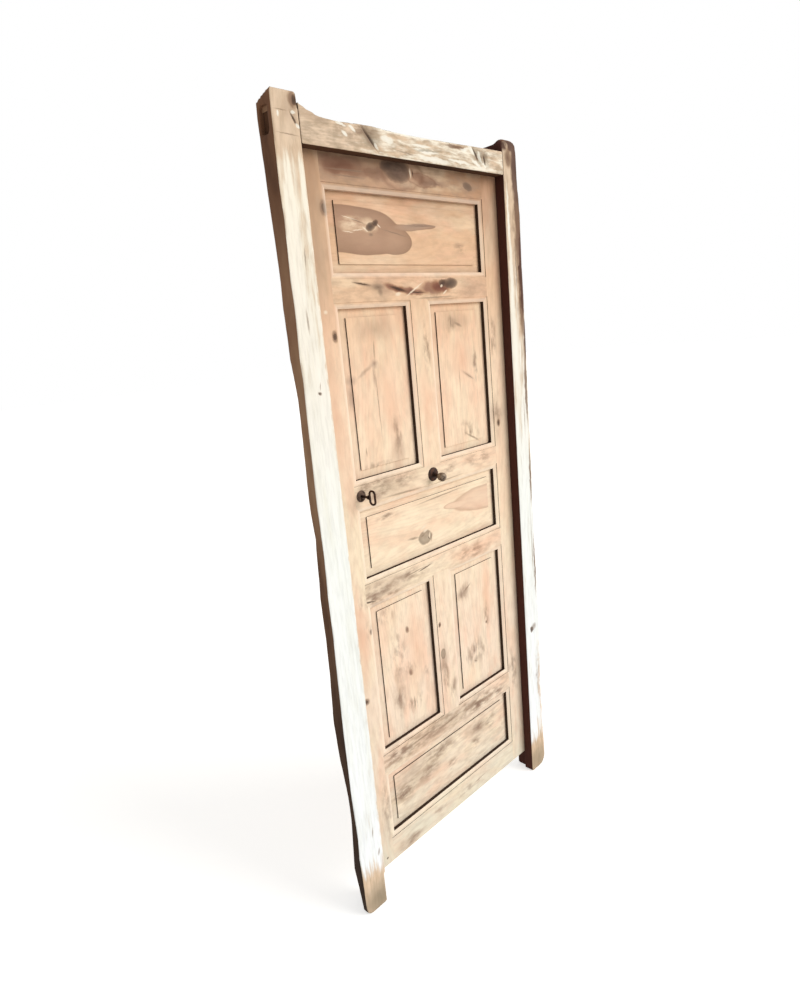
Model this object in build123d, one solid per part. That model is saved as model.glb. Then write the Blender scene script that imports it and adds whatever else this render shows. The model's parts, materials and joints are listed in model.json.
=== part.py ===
from build123d import *
import os
from math import cos, pi, radians, sin
from typing import NamedTuple

# A seven-panel pine door leaf hung in its frame of two rough posts and a head.
# Lengths in millimetres: X across the doorway, Y from the face side to the back, Z up from the floor.
# The origin is on the floor, midway between the posts, in the plane of the leaf's face.

# Doorway and leaf
clear_width = 740.0
leaf_lift = 72.0
leaf_thickness = 40.0
leaf_gap = 2.0
stop_depth = 33.4
stop_cover = 12.5
overrun = 5.0

# Stiles, muntins, rails and panels of the leaf, measured between the moulding arrises
stile_width = 82.0
muntin_width = 96.0
bottom_rail_height = 89.0
bottom_panel_height = 191.0
lower_rail_height = 86.0
lower_panel_height = 439.0
middle_rail_height = 85.0
middle_panel_height = 188.0
lock_rail_height = 84.0
upper_panel_height = 432.0
frieze_rail_height = 84.0
top_panel_height = 190.0
top_rail_height = 78.0

# Moulding stuck on the edges of every opening
moulding_width = 14.0
moulding_quirk = 1.4
moulding_fillet = 2.0
moulding_drop = 5.0
moulding_swell_share = 0.3
wall_depth = 16.0
back_chamfer = 3.0

# Fielded panels and the ploughed groove that holds them
plough_width = 13.0
plough_depth = 10.0
panel_play = 1.0
panel_slack = 0.2
margin_side = 28.0
margin_end = 22.0
margin_rise = 1.4
field_step = 3.4

# Wedged through tenons of the rails and stub tenons of the muntins
tenon_shoulder = 4.0
tenon_haunch = 16.0
stub_tenon_length = 22.0
stub_tenon_shoulder = 6.0
leaf_wedge_rise = 3.0
leaf_wedge_length = 45.0

# Posts and head of the frame
horn_rise = 104.0
left_post_width = 87.0
right_post_width = 82.0
post_corner = 8.0
horn_drop = 28.0
wane_angle = 40.0
foot_inset = 5.0
foot_bare_height = 96.0
head_height = 62.0
head_tenon_rise = 18.0
head_tenon_height = 45.0
head_tenon_front = 17.0
head_tenon_thickness = 28.0
head_tenon_length = 63.0
head_wedge_rise = 11.0
head_wedge_length = 44.0

# Waney outlines: share of the post's height, share of its width
left_edge_shares = (
    (0.0, 0.71), (0.002, 0.82), (0.006, 0.905), (0.013, 0.94), (0.062, 0.965), (0.094, 0.99), (0.123, 0.957),
    (0.185, 1.0), (0.271, 1.0), (0.34, 0.977), (0.405, 0.94), (0.457, 0.948), (0.506, 0.908), (0.566, 0.934),
    (0.647, 0.908), (0.712, 0.88), (0.734, 0.902), (0.788, 0.857), (0.816, 0.884), (0.875, 0.84), (0.903, 0.87),
    (0.958, 0.848), (0.995, 0.835), (1.0, 0.79),
)
right_edge_shares = (
    (0.0, 0.64), (0.002, 0.8), (0.007, 0.93), (0.015, 0.985), (0.06, 0.95), (0.14, 0.907), (0.195, 0.968),
    (0.27, 0.988), (0.34, 0.968), (0.41, 0.918), (0.476, 0.937), (0.6, 0.948), (0.747, 0.94), (0.83, 0.902),
    (0.9, 0.912), (0.925, 0.87), (0.947, 0.82), (0.984, 0.815), (0.992, 0.77), (0.998, 0.66), (1.0, 0.52),
)

# Bark edge at the back of each post: share of the post's height, share of the frame's depth
left_wane_shares = (
    (0.0, 0.06), (0.03, 0.13), (0.07, 0.25), (0.117, 0.18), (0.15, 0.125), (0.185, 0.135), (0.237, 0.27),
    (0.29, 0.333), (0.348, 0.26), (0.4, 0.231), (0.453, 0.245), (0.503, 0.19), (0.529, 0.15), (0.56, 0.205),
    (0.6, 0.2), (0.647, 0.157), (0.689, 0.145), (0.735, 0.24), (0.788, 0.26), (0.816, 0.234), (0.9, 0.283),
    (0.976, 0.32), (1.0, 0.29),
)
right_wane_shares = (
    (0.0, 0.12), (0.06, 0.24), (0.15, 0.3), (0.24, 0.2), (0.33, 0.27), (0.45, 0.31), (0.56, 0.22),
    (0.68, 0.28), (0.8, 0.33), (0.92, 0.25), (1.0, 0.22),
)

# Weathered tops of the posts: share of the frame's depth, share of the horn's drop
left_horn_shares = ((0.0, 0.0), (1.0, 1.0))
right_horn_shares = ((0.0, 0.06), (0.08, 0.0), (0.31, 0.0), (0.43, 0.44), (1.0, 0.5))

# Top edge of the head: share of the clear width from the left, share of the head's height
head_edge_shares = (
    (0.0, 1.14), (0.03, 1.05), (0.07, 0.98), (0.16, 0.985), (0.29, 1.02), (0.475, 0.95), (0.68, 0.99),
    (0.86, 1.01), (1.0, 1.05),
)

# Butt hinges
hinge_length = 100.0
hinge_plate_width = 32.0
hinge_plate_thickness = 2.2
knuckle_count = 5
knuckle_radius = 6.0
knuckle_stand = 6.6
knuckle_gap = 0.4
hinge_pin_radius = 3.0
hinge_pin_clearance = 0.08
hinge_pin_cap_radius = 4.6
hinge_pin_cap_height = 5.0
hinge_screw_spread = 38.0
hinge_screw_stagger = 8.0

# Slotted countersunk wood screws
screw_head_radius = 4.0
screw_head_height = 2.2
screw_shank_radius = 2.0
screw_length = 24.0
screw_slot_width = 1.0
screw_slot_depth = 0.9

# Rim lock on the back of the leaf, its key and its keeper on the left post
key_backset = 101.5
lock_edge_setback = 1.0
lock_length = 146.0
lock_height = 70.0
lock_below_key = 33.0
lock_depth = 20.0
lock_wall = 1.6
lock_plate = 1.5
lock_screw_inset = 8.0
lock_screw_bite = 10.0
bolt_throw = 14.0
bolt_height = 20.0
bolt_thickness = 8.0
bolt_nose = 1.0
bolt_tail_room = 12.0
bolt_clearance = 0.3
talon_length = 25.0
talon_clearance = 1.0
stud_radius = 2.5
stud_from_edge = 52.0
spring_length = 56.0
spring_thickness = 0.8
spring_width = 6.0
spring_from_edge = 30.0
keeper_length = 16.0
keeper_gap = 4.0
keeper_wall = 2.0
keeper_room = 3.0
keeper_flange = 15.0

# Key
key_shank_radius = 3.6
key_pin_radius = 2.6
key_collar_radius = 5.6
key_collar_length = 4.0
key_bit_radius = 14.0
key_bit_thickness = 3.0
key_bit_length = 12.0
key_bit_ward = 3.0
key_bow_stand = 44.2
key_bow_length = 25.0
key_bow_height = 41.0
key_bow_corner = 11.5
key_bow_rim = 4.6
key_bow_thickness = 4.4
key_bow_round = 1.4
keyhole_clearance = 0.6
bit_grip_share = 0.25

# Keyhole escutcheon
escutcheon_radius = 15.5
escutcheon_edge = 1.2
escutcheon_dome = 2.8
escutcheon_pin_reach = 11.5
escutcheon_pin_radius = 0.9
escutcheon_pin_head = 1.8
escutcheon_pin_length = 12.0

# Pull knob in the middle of the lock rail
rose_radius = 20.0
rose_edge = 2.0
rose_thickness = 6.0
rose_seat = 5.0
spindle_radius = 4.6
spindle_collar_radius = 7.5
spindle_collar_length = 4.0
spindle_socket = 14.0
knob_stand = 21.0
knob_length = 26.0
knob_droop = 10.0
knob_radius = 12.5
knob_neck_radius = 6.2
nut_width = 17.0
nut_height = 7.0
nut_chamfer = 1.2
spindle_tail = 3.0

# Places worked out from the sizes above
clear_half = clear_width / 2
frame_depth = stop_depth + leaf_thickness
leaf_edge = clear_half + stop_cover
rebate_edge = leaf_edge + leaf_gap
arris = clear_half - stile_width
shoulder = arris + moulding_width
muntin_half = muntin_width / 2
muntin_flat = muntin_half - moulding_width
plough_back = wall_depth + plough_width
leaf_rows = (
    ("bottom_rail", bottom_rail_height, ("bottom_panel",), bottom_panel_height),
    ("lower_rail", lower_rail_height, ("lower_left_panel", "lower_right_panel"), lower_panel_height),
    ("middle_rail", middle_rail_height, ("middle_panel",), middle_panel_height),
    ("lock_rail", lock_rail_height, ("upper_left_panel", "upper_right_panel"), upper_panel_height),
    ("frieze_rail", frieze_rail_height, ("top_panel",), top_panel_height),
)
head_underside = leaf_lift + sum(row[1] + row[3] for row in leaf_rows) + top_rail_height
post_height = head_underside + horn_rise
leaf_top = head_underside + stop_cover
rebate_top = leaf_top + leaf_gap
hinge_x = leaf_edge + leaf_gap / 2
hinge_y = leaf_thickness + knuckle_stand


class Opening(NamedTuple):
    """A panel's opening in the leaf, to the arris of its moulding."""

    name: str
    x0: float
    x1: float
    z0: float
    z1: float


def lay_out_leaf():
    """Returns the rails' heights, bottom to top, and the openings above each of them."""
    rails = {}
    openings = {}
    z = leaf_lift
    for rail, rail_height, names, panel_height in leaf_rows:
        rails[rail] = (z, z + rail_height)
        z += rail_height
        spans = ((-arris, arris),)
        if len(names) > 1:
            spans = ((-arris, -muntin_half), (muntin_half, arris))
        openings[rail] = [Opening(n, x0, x1, z, z + panel_height) for n, (x0, x1) in zip(names, spans)]
        z += panel_height
    rails["top_rail"] = (z, leaf_top)
    openings["top_rail"] = []
    return rails, openings


rails, openings = lay_out_leaf()
all_openings = [opening for row in openings.values() for opening in row]
key_x = key_backset - leaf_edge
key_z = sum(rails["lock_rail"]) / 2
lock_edge = lock_edge_setback - leaf_edge
lock_bottom = key_z - lock_below_key
bolt_bottom = key_z + key_bit_radius * (1 - bit_grip_share)
bolt_middle_y = leaf_thickness + lock_depth / 2
hinge_rows = {"lower": "bottom_rail", "middle": "middle_rail", "upper": "frieze_rail"}
bolt_end = lock_edge - bolt_nose


# Shapes that several pieces share
def block(x0, x1, y0, y1, z0, z1):
    """A box between two corners."""
    return Pos((x0 + x1) / 2, (y0 + y1) / 2, (z0 + z1) / 2) * Box(abs(x1 - x0), abs(y1 - y0), abs(z1 - z0))


def wall_plane(y):
    """The upright plane at y whose sketches read as seen from the face side."""
    return Plane(origin=(0, y, 0), x_dir=(1, 0, 0), z_dir=(0, -1, 0))


def upright_prism(outline, y0, y1):
    """A closed outline of X and Z, carried through from y0 to y1."""
    return extrude(wall_plane(y1) * make_face(outline), amount=y1 - y0)


def rod(x, z, radius, y0, y1):
    """A round bar along Y."""
    return Plane(origin=(x, y0, z), z_dir=(0, 1, 0)) * Cylinder(
        radius, y1 - y0, align=(Align.CENTER, Align.CENTER, Align.MIN)
    )


def turned(x, z, profile):
    """A piece turned about an axis along Y: its profile is a list of edges in radius and Y."""
    plane = Plane(origin=(x, 0, z), x_dir=(1, 0, 0), z_dir=(0, 0, 1))
    return revolve(plane * make_face(profile), axis=Axis((x, 0, z), (0, 1, 0)))


def domed_disc(x, z, radius, edge, height):
    """A round plate on the leaf's face: a straight edge and a ball-shaped crown."""
    crown = height - edge
    ball = (radius * radius + crown * crown) / (crown * 2)
    cap = Pos(x, ball - height, z) * Sphere(ball) & rod(x, z, radius, -height, -edge)
    return rod(x, z, radius, -edge, 0) + cap


def screw_body(length):
    """A countersunk screw pointing down -Z, its head's top at zero."""
    head = Cone(
        screw_shank_radius, screw_head_radius, screw_head_height, align=(Align.CENTER, Align.CENTER, Align.MAX)
    )
    return head + Cylinder(screw_shank_radius, length, align=(Align.CENTER, Align.CENTER, Align.MAX))


def screw_slot():
    """The slot across a screw's head."""
    return Box(
        screw_head_radius * 2, screw_slot_width, screw_slot_depth, align=(Align.CENTER, Align.CENTER, Align.MAX)
    )


def screws_at(planes, length):
    """Returns the finished screws and the plain bodies that cut their holes."""
    bodies = [plane * screw_body(length) for plane in planes]
    finished = [body - plane * screw_slot() for body, plane in zip(bodies, planes)]
    return finished, bodies


def cut_all(solid, tools):
    """Takes every tool out of a solid."""
    for tool in tools:
        solid = solid - tool
    return solid


# The leaf blank: one slab with every opening, moulding and groove cut
def moulding_cut(opening):
    """The ring that shapes the quirked ovolo round an opening, mitred at the corners."""
    middle = (opening.x0 + opening.x1) / 2
    plane = Plane(origin=(middle, 0, opening.z0), x_dir=(0, 0, -1), z_dir=(1, 0, 0))
    fillet_edge = moulding_width - moulding_fillet
    swell = moulding_quirk + (moulding_drop - moulding_quirk) * moulding_swell_share
    bed = Polyline(
        (0, moulding_drop), (0, -overrun), (moulding_width, -overrun),
        (moulding_width, moulding_quirk), (fillet_edge, moulding_quirk),
    )
    ovolo = ThreePointArc((fillet_edge, moulding_quirk), (fillet_edge / 2, swell), (0, moulding_drop))
    return sweep(plane * make_face(bed + ovolo), path=opening_path(opening, 0), transition=Transition.RIGHT)


def opening_path(opening, y):
    """The closed line round an opening at depth y, starting midway along its bottom."""
    middle = (opening.x0 + opening.x1) / 2
    corners = (
        (middle, opening.z0), (opening.x1, opening.z0), (opening.x1, opening.z1),
        (opening.x0, opening.z1), (opening.x0, opening.z0), (middle, opening.z0),
    )
    return Wire(Polyline(*((x, y, z) for x, z in corners)).edges())


def chamfer_cut(opening):
    """The plain chamfer round the back of an opening."""
    middle = (opening.x0 + opening.x1) / 2
    plane = Plane(origin=(middle, leaf_thickness, opening.z0), x_dir=(0, 0, -1), z_dir=(1, 0, 0))
    triangle = Polyline((0, -back_chamfer), (back_chamfer + overrun, overrun), (0, overrun), close=True)
    return sweep(
        plane * make_face(triangle), path=opening_path(opening, leaf_thickness), transition=Transition.RIGHT
    )


def leaf_blank():
    """The whole leaf as one slab, before it is parted into its members."""
    slab = block(-leaf_edge, leaf_edge, 0, leaf_thickness, leaf_lift, leaf_top)
    for o in all_openings:
        slab -= block(o.x0, o.x1, -overrun, leaf_thickness + overrun, o.z0, o.z1)
        slab -= block(
            o.x0 - plough_depth, o.x1 + plough_depth, wall_depth, plough_back,
            o.z0 - plough_depth, o.z1 + plough_depth,
        )
        slab -= moulding_cut(o)
        slab -= chamfer_cut(o)
    return slab


# Outlines that part the leaf, with mitres where the mouldings meet
def stile_outline(side):
    """A stile: its flat width and the mouldings that border on it."""
    points = [(side * leaf_edge, leaf_lift), (side * shoulder, leaf_lift)]
    for row in openings.values():
        for o in row[:1]:
            points += [
                (side * shoulder, o.z0 - moulding_width), (side * arris, o.z0),
                (side * arris, o.z1), (side * shoulder, o.z1 + moulding_width),
            ]
    points += [(side * shoulder, leaf_top), (side * leaf_edge, leaf_top)]
    return Polyline(*points, close=True)


def rail_outline(rail):
    """A rail: its flat height and the mouldings above and below it."""
    names = list(openings)
    place = names.index(rail)
    below = openings[names[place - 1]] if place else []
    above = openings[rail]
    points = []
    for o in below:
        points += [
            (o.x0 - moulding_width, o.z1 + moulding_width), (o.x0, o.z1),
            (o.x1, o.z1), (o.x1 + moulding_width, o.z1 + moulding_width),
        ]
    if not below:
        points += [(-shoulder, leaf_lift), (shoulder, leaf_lift)]
    for o in reversed(above):
        points += [
            (o.x1 + moulding_width, o.z0 - moulding_width), (o.x1, o.z0),
            (o.x0, o.z0), (o.x0 - moulding_width, o.z0 - moulding_width),
        ]
    if not above:
        points += [(shoulder, leaf_top), (-shoulder, leaf_top)]
    return Polyline(*points, close=True)


def muntin_outline(o):
    """A muntin between two openings of one height."""
    low = o.z0 - moulding_width
    high = o.z1 + moulding_width
    return Polyline(
        (-muntin_flat, low), (muntin_flat, low), (muntin_half, o.z0), (muntin_half, o.z1),
        (muntin_flat, high), (-muntin_flat, high), (-muntin_half, o.z1), (-muntin_half, o.z0), close=True,
    )


def tenon_heights(rail):
    """Bottom and top of a rail's tenons, haunched at the leaf's ends."""
    low, high = rails[rail]
    edge = moulding_width + tenon_shoulder
    low_edge = tenon_haunch if rail == "bottom_rail" else edge
    high_edge = tenon_haunch if rail == "top_rail" else edge
    return low + low_edge, high - high_edge


def rail_tenon(rail, side):
    """A rail's through tenon at one end."""
    low, high = tenon_heights(rail)
    return block(side * shoulder, side * leaf_edge, wall_depth, plough_back, low, high)


def leaf_wedge(side, z, rise):
    """A wedge driven beside a through tenon from the leaf's edge."""
    tip = side * (leaf_edge - leaf_wedge_length)
    outline = Polyline((tip, z), (side * leaf_edge, z), (side * leaf_edge, z + rise), close=True)
    return upright_prism(outline, wall_depth, plough_back)


def rail_wedges(rail, side):
    """The pair of wedges above and below a through tenon."""
    low, high = tenon_heights(rail)
    return [leaf_wedge(side, low, -leaf_wedge_rise), leaf_wedge(side, high, leaf_wedge_rise)]


def muntin_tenon(o, up):
    """A muntin's stub tenon, into the rail above or below."""
    half = muntin_flat - stub_tenon_shoulder
    start = o.z1 + moulding_width if up else o.z0 - moulding_width
    end = start + stub_tenon_length if up else start - stub_tenon_length
    return block(-half, half, wall_depth, plough_back, start, end)


def fielded_panel(o):
    """A raised and fielded panel that stands in the groove of the rail below it."""
    reach = plough_depth - panel_play
    tongue = block(
        o.x0 - reach, o.x1 + reach, wall_depth, plough_back - panel_slack,
        o.z0 - plough_depth, o.z1 + reach,
    )
    field_y = wall_depth - margin_rise
    margin = loft([
        wall_plane(wall_depth) * Pos((o.x0 + o.x1) / 2, (o.z0 + o.z1) / 2) * Rectangle(o.x1 - o.x0, o.z1 - o.z0),
        wall_plane(field_y) * Pos((o.x0 + o.x1) / 2, (o.z0 + o.z1) / 2)
        * Rectangle(o.x1 - o.x0 - margin_side * 2, o.z1 - o.z0 - margin_end * 2),
    ])
    field = block(
        o.x0 + margin_side, o.x1 - margin_side, field_y - field_step, wall_depth,
        o.z0 + margin_end, o.z1 - margin_end,
    )
    return tongue + margin + field


# The frame: two posts with horns and feet, and the head tenoned through them
def post(side, width, edge_shares, wane_shares, horn_shares):
    """A post with a waney outer side, a bark edge at its back and a weathered top."""
    inner = side * clear_half
    edge = [(side * (clear_half + w * width), h * post_height) for h, w in edge_shares]
    inside = FilletPolyline(edge[-1], (inner, post_height), (inner, 0), edge[0], radius=post_corner)
    solid = upright_prism(Polyline(*edge) + inside, -stop_depth, leaf_thickness)
    solid -= wane_cut(side, width, wane_shares)
    solid -= horn_cut(side, width, horn_shares)
    rebate = block(
        inner - side * overrun, side * rebate_edge, 0, leaf_thickness + overrun, -overrun, rebate_top
    )
    return solid - rebate


def wane_cut(side, width, shares):
    """What the bark edge takes off the outer back corner of a post."""
    turn = radians(wane_angle)
    plane = Plane(
        origin=(side * (clear_half + width), -stop_depth, 0),
        x_dir=(side * cos(turn), sin(turn), 0),
        z_dir=(sin(turn), -side * cos(turn), 0),
    )
    far = frame_depth + width
    bark = [(u * frame_depth, h * post_height) for h, u in shares]
    low = (bark[0][0], -overrun)
    high = (bark[-1][0], post_height + overrun)
    outline = Polyline(low, *bark, high, (far, high[1]), (far, low[1]), close=True)
    return extrude(plane * make_face(outline), amount=far, both=True)


def horn_cut(side, width, shares):
    """What the weather has taken off the top of a post."""
    plane = Plane(origin=(0, -stop_depth, post_height), x_dir=(0, 1, 0), z_dir=(1, 0, 0))
    worn = [(d * frame_depth, -drop * horn_drop) for d, drop in shares]
    front = (-overrun, worn[0][1])
    back = (frame_depth + overrun, worn[-1][1])
    outline = Polyline(
        front, *worn, back, (back[0], overrun), (front[0], overrun), close=True
    )
    return extrude(plane * make_face(outline), amount=side * (clear_half + width + overrun))


def head_tenon_zone(side, reach, rise):
    """The space of a head tenon, out to a reach from the doorway's side."""
    low = head_underside + head_tenon_rise
    front = head_tenon_front - stop_depth
    return block(
        side * clear_half, side * (clear_half + reach), front, front + head_tenon_thickness,
        low, low + head_tenon_height + rise,
    )


def head_wedge(side):
    """The wedge above a head tenon, as long as the tenon's outer part."""
    top = head_underside + head_tenon_rise + head_tenon_height
    end = clear_half + head_tenon_length
    front = head_tenon_front - stop_depth
    outline = Polyline(
        (side * (end - head_wedge_length), top), (side * end, top), (side * end, top + head_wedge_rise), close=True
    )
    return upright_prism(outline, front, front + head_tenon_thickness)


def head_mortise(side, width):
    """The hole through a post for the head's tenon and wedge, flared to the post's outer side."""
    hole = head_tenon_zone(side, width + overrun, 0)
    mouth = block(
        side * (clear_half + head_tenon_length), side * (clear_half + width + overrun),
        head_tenon_front - stop_depth, head_tenon_front - stop_depth + head_tenon_thickness,
        head_underside + head_tenon_rise, head_underside + head_tenon_rise + head_tenon_height + head_wedge_rise,
    )
    return hole + mouth + head_wedge(side)


def head_rail():
    """The head: a worn top edge, a stop in front of the leaf and a tenon at each end."""
    edge = [(s * clear_width - clear_half, head_underside + h * head_height) for s, h in head_edge_shares]
    outline = Polyline(*edge, (clear_half, head_underside), (-clear_half, head_underside), close=True)
    solid = upright_prism(outline, -stop_depth, leaf_thickness)
    solid -= block(
        -clear_half - overrun, clear_half + overrun, 0, leaf_thickness + overrun, head_underside - overrun, rebate_top
    )
    for side in (-1, 1):
        solid += head_tenon_zone(side, head_tenon_length, 0)
    return solid


# Butt hinges with loose pins
def hinge_leaf(z, on_door):
    """One leaf of a hinge: a plate let into the wood and its share of the knuckles."""
    low = z - hinge_length / 2
    pitch = hinge_length / knuckle_count
    face = leaf_edge if on_door else rebate_edge
    inside = -hinge_plate_thickness if on_door else hinge_plate_thickness
    plate = block(
        face, face + inside, leaf_thickness - hinge_plate_width, leaf_thickness, low, low + hinge_length
    )
    for index in range(knuckle_count):
        if (index % 2 == 1) != on_door:
            continue
        bottom = low + index * pitch + knuckle_gap / 2
        top = low + (index + 1) * pitch - knuckle_gap / 2
        plate += block(face, face + inside, leaf_thickness, hinge_y, bottom, top)
        plate += Pos(hinge_x, hinge_y, bottom) * Cylinder(
            knuckle_radius, top - bottom, align=(Align.CENTER, Align.CENTER, Align.MIN)
        )
    bore = hinge_pin_radius + hinge_pin_clearance
    return plate - Pos(hinge_x, hinge_y, z) * Cylinder(bore, hinge_length + overrun)


def hinge_pin(z):
    """A hinge pin with a rounded cap at each end."""
    half = hinge_length / 2
    pin = Cylinder(hinge_pin_radius, hinge_length)
    for end in (-1, 1):
        cap = Pos(0, 0, end * half) * Sphere(hinge_pin_cap_radius)
        keep = Pos(0, 0, end * (half + hinge_pin_cap_height / 2)) * Cylinder(
            hinge_pin_cap_radius, hinge_pin_cap_height
        )
        pin += cap & keep
    return Pos(hinge_x, hinge_y, z) * pin


def hinge_screw_planes(z, on_door):
    """Where a hinge leaf's screws stand, facing out of the plate."""
    face = leaf_edge if on_door else rebate_edge
    outward = 1 if on_door else -1
    middle = leaf_thickness - hinge_plate_width / 2
    planes = []
    for step in (-1, 0, 1):
        y = middle + hinge_screw_stagger * (1 - 2 * abs(step)) / 2
        planes.append(
            Plane(origin=(face, y, z + step * hinge_screw_spread), x_dir=(0, 0, 1), z_dir=(outward, 0, 0))
        )
    return planes


# Rim lock
def keyhole(x, z, radius, slot_half, slot_end, y0, y1):
    """A keyhole: a round and a slot below it."""
    return rod(x, z, radius, y0, y1) + block(x - slot_half, x + slot_half, y0, y1, z - slot_end, z)


def key_passage(y0, y1, slack):
    """The keyhole that the key passes, with a given slack."""
    return keyhole(
        key_x, key_z, key_shank_radius + slack, key_bit_thickness / 2 + slack, key_bit_radius + slack, y0, y1
    )


def lock_box(inset, y0, y1):
    """The lock's outline, drawn in by an inset."""
    return block(
        lock_edge + inset, lock_edge + lock_length - inset, y0, y1, lock_bottom + inset,
        lock_bottom + lock_height - inset,
    )


def bolt_bar(x0, x1, slack):
    """The bolt's section between two ends, with a given slack."""
    return block(
        x0, x1, bolt_middle_y - bolt_thickness / 2 - slack, bolt_middle_y + bolt_thickness / 2 + slack,
        bolt_bottom - slack, bolt_bottom + bolt_height + slack,
    )


def lock_case():
    """The folded iron box, open towards the leaf."""
    cap = leaf_thickness + lock_depth
    case = lock_box(0, leaf_thickness + lock_plate, cap)
    case -= lock_box(lock_wall, leaf_thickness, cap - lock_wall)
    case -= bolt_bar(lock_edge - overrun, lock_edge + lock_wall + overrun, bolt_clearance)
    return case - key_passage(cap - lock_wall - overrun, cap + overrun, keyhole_clearance)


def lock_cover():
    """The plate between the lock and the leaf."""
    plate = lock_box(0, leaf_thickness, leaf_thickness + lock_plate)
    return plate - key_passage(leaf_thickness - overrun, leaf_thickness + lock_plate + overrun, keyhole_clearance)


def lock_bolt():
    """The bolt: talon notch for the key's bit, and a slot that runs on the guide stud."""
    tail = lock_edge + lock_length - lock_wall - bolt_tail_room
    bolt = bolt_bar(bolt_end, tail, 0)
    talon_middle = key_x + bolt_throw / 2
    depth = key_bit_radius * bit_grip_share + talon_clearance
    bolt -= block(
        talon_middle - talon_length / 2, talon_middle + talon_length / 2, leaf_thickness,
        leaf_thickness + lock_depth, bolt_bottom - overrun, bolt_bottom + depth,
    )
    stud_x = lock_edge + stud_from_edge
    half = stud_radius + bolt_clearance
    z = bolt_bottom + bolt_height / 2
    slot = rod(stud_x, z, half, leaf_thickness, leaf_thickness + lock_depth)
    slot += rod(stud_x + bolt_throw, z, half, leaf_thickness, leaf_thickness + lock_depth)
    slot += block(stud_x, stud_x + bolt_throw, leaf_thickness, leaf_thickness + lock_depth, z - half, z + half)
    return bolt - slot


def guide_stud():
    """The stud between the lock's cover and cap that the bolt's slot runs on."""
    return rod(
        lock_edge + stud_from_edge, bolt_bottom + bolt_height / 2, stud_radius,
        leaf_thickness + lock_plate, leaf_thickness + lock_depth - lock_wall,
    )


def bolt_spring():
    """The bowed strip that presses the bolt down from the top of the case."""
    ceiling = lock_bottom + lock_height - lock_wall
    belly = bolt_bottom + bolt_height + bolt_clearance
    start = lock_edge + spring_from_edge
    middle = start + spring_length / 2
    end = start + spring_length
    lower = ThreePointArc((start, ceiling - spring_thickness), (middle, belly), (end, ceiling - spring_thickness))
    upper = ThreePointArc((end, ceiling), (middle, belly + spring_thickness), (start, ceiling))
    ends = [
        Line((end, ceiling - spring_thickness), (end, ceiling)),
        Line((start, ceiling), (start, ceiling - spring_thickness)),
    ]
    half = spring_width / 2
    return upright_prism(lower + upper + ends, bolt_middle_y - half, bolt_middle_y + half)


def lock_screw_planes():
    """Where the lock's screws stand on its cap."""
    near = lock_edge + lock_screw_inset
    far = lock_edge + lock_length - lock_screw_inset
    low = lock_bottom + lock_screw_inset
    high = lock_bottom + lock_height - lock_screw_inset
    cap = leaf_thickness + lock_depth
    return [
        Plane(origin=(x, cap, z), x_dir=(1, 0, 0), z_dir=(0, 1, 0)) for x, z in ((near, low), (far, low), (far, high))
    ]


def keeper():
    """The box staple on the left post that takes the bolt, with a screwed flange above and below."""
    near = lock_edge - keeper_gap
    far = near - keeper_length
    low = bolt_bottom - keeper_room
    high = bolt_bottom + bolt_height + keeper_room
    top = leaf_thickness + lock_depth
    shell = block(far, near, leaf_thickness, top, low - keeper_wall, high + keeper_wall)
    shell += block(
        far, near, leaf_thickness, leaf_thickness + keeper_wall, low - keeper_wall - keeper_flange,
        high + keeper_wall + keeper_flange,
    )
    return shell - block(far + keeper_wall, near + overrun, leaf_thickness - overrun, top - keeper_wall, low, high)


def keeper_screw_planes():
    """Where the keeper's screws stand on its flanges."""
    x = lock_edge - keeper_gap - keeper_length / 2
    reach = keeper_room + keeper_wall + keeper_flange / 2
    heights = (bolt_bottom - reach, bolt_bottom + bolt_height + reach)
    return [
        Plane(origin=(x, leaf_thickness + keeper_wall, z), x_dir=(1, 0, 0), z_dir=(0, 1, 0)) for z in heights
    ]


# Key
def key():
    """The key: oval bow, collar, round shank, pin end and a warded bit."""
    bow_end = -key_bow_stand + key_bow_length / 2
    bit_start = bolt_middle_y - key_bit_length / 2
    bit_end = bolt_middle_y + key_bit_length / 2
    plane = Plane(origin=(key_x, -key_bow_stand, key_z), x_dir=(0, 1, 0), z_dir=(1, 0, 0))
    oval = RectangleRounded(key_bow_length, key_bow_height, key_bow_corner)
    bow = extrude(plane * oval, amount=key_bow_thickness / 2, both=True)
    bow = fillet(bow.edges(), key_bow_round)
    eye = RectangleRounded(
        key_bow_length - 2 * key_bow_rim, key_bow_height - 2 * key_bow_rim, key_bow_corner - key_bow_rim
    )
    bow -= extrude(plane * eye, amount=key_bow_thickness, both=True)
    shank = rod(key_x, key_z, key_shank_radius, bow_end - key_bow_rim / 2, bit_end)
    shank += rod(key_x, key_z, key_pin_radius, bit_end, leaf_thickness + lock_depth + key_pin_radius)
    shank += rod(key_x, key_z, key_collar_radius, bow_end, bow_end + key_collar_length)
    half = key_bit_thickness / 2
    bit = block(key_x - half, key_x + half, bit_start, bit_end, key_z - key_bit_radius, key_z)
    ward = block(
        key_x - overrun, key_x + overrun, bolt_middle_y - key_bit_ward / 2, bolt_middle_y + key_bit_ward / 2,
        key_z - key_bit_radius + key_bit_ward, key_z - key_shank_radius - key_bit_ward,
    )
    return bow + shank + (bit - ward)


# Escutcheon and knob
def escutcheon():
    """The round domed plate over the keyhole."""
    plate = domed_disc(key_x, key_z, escutcheon_radius, escutcheon_edge, escutcheon_dome)
    return plate - key_passage(-escutcheon_dome - overrun, overrun, keyhole_clearance)


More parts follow.
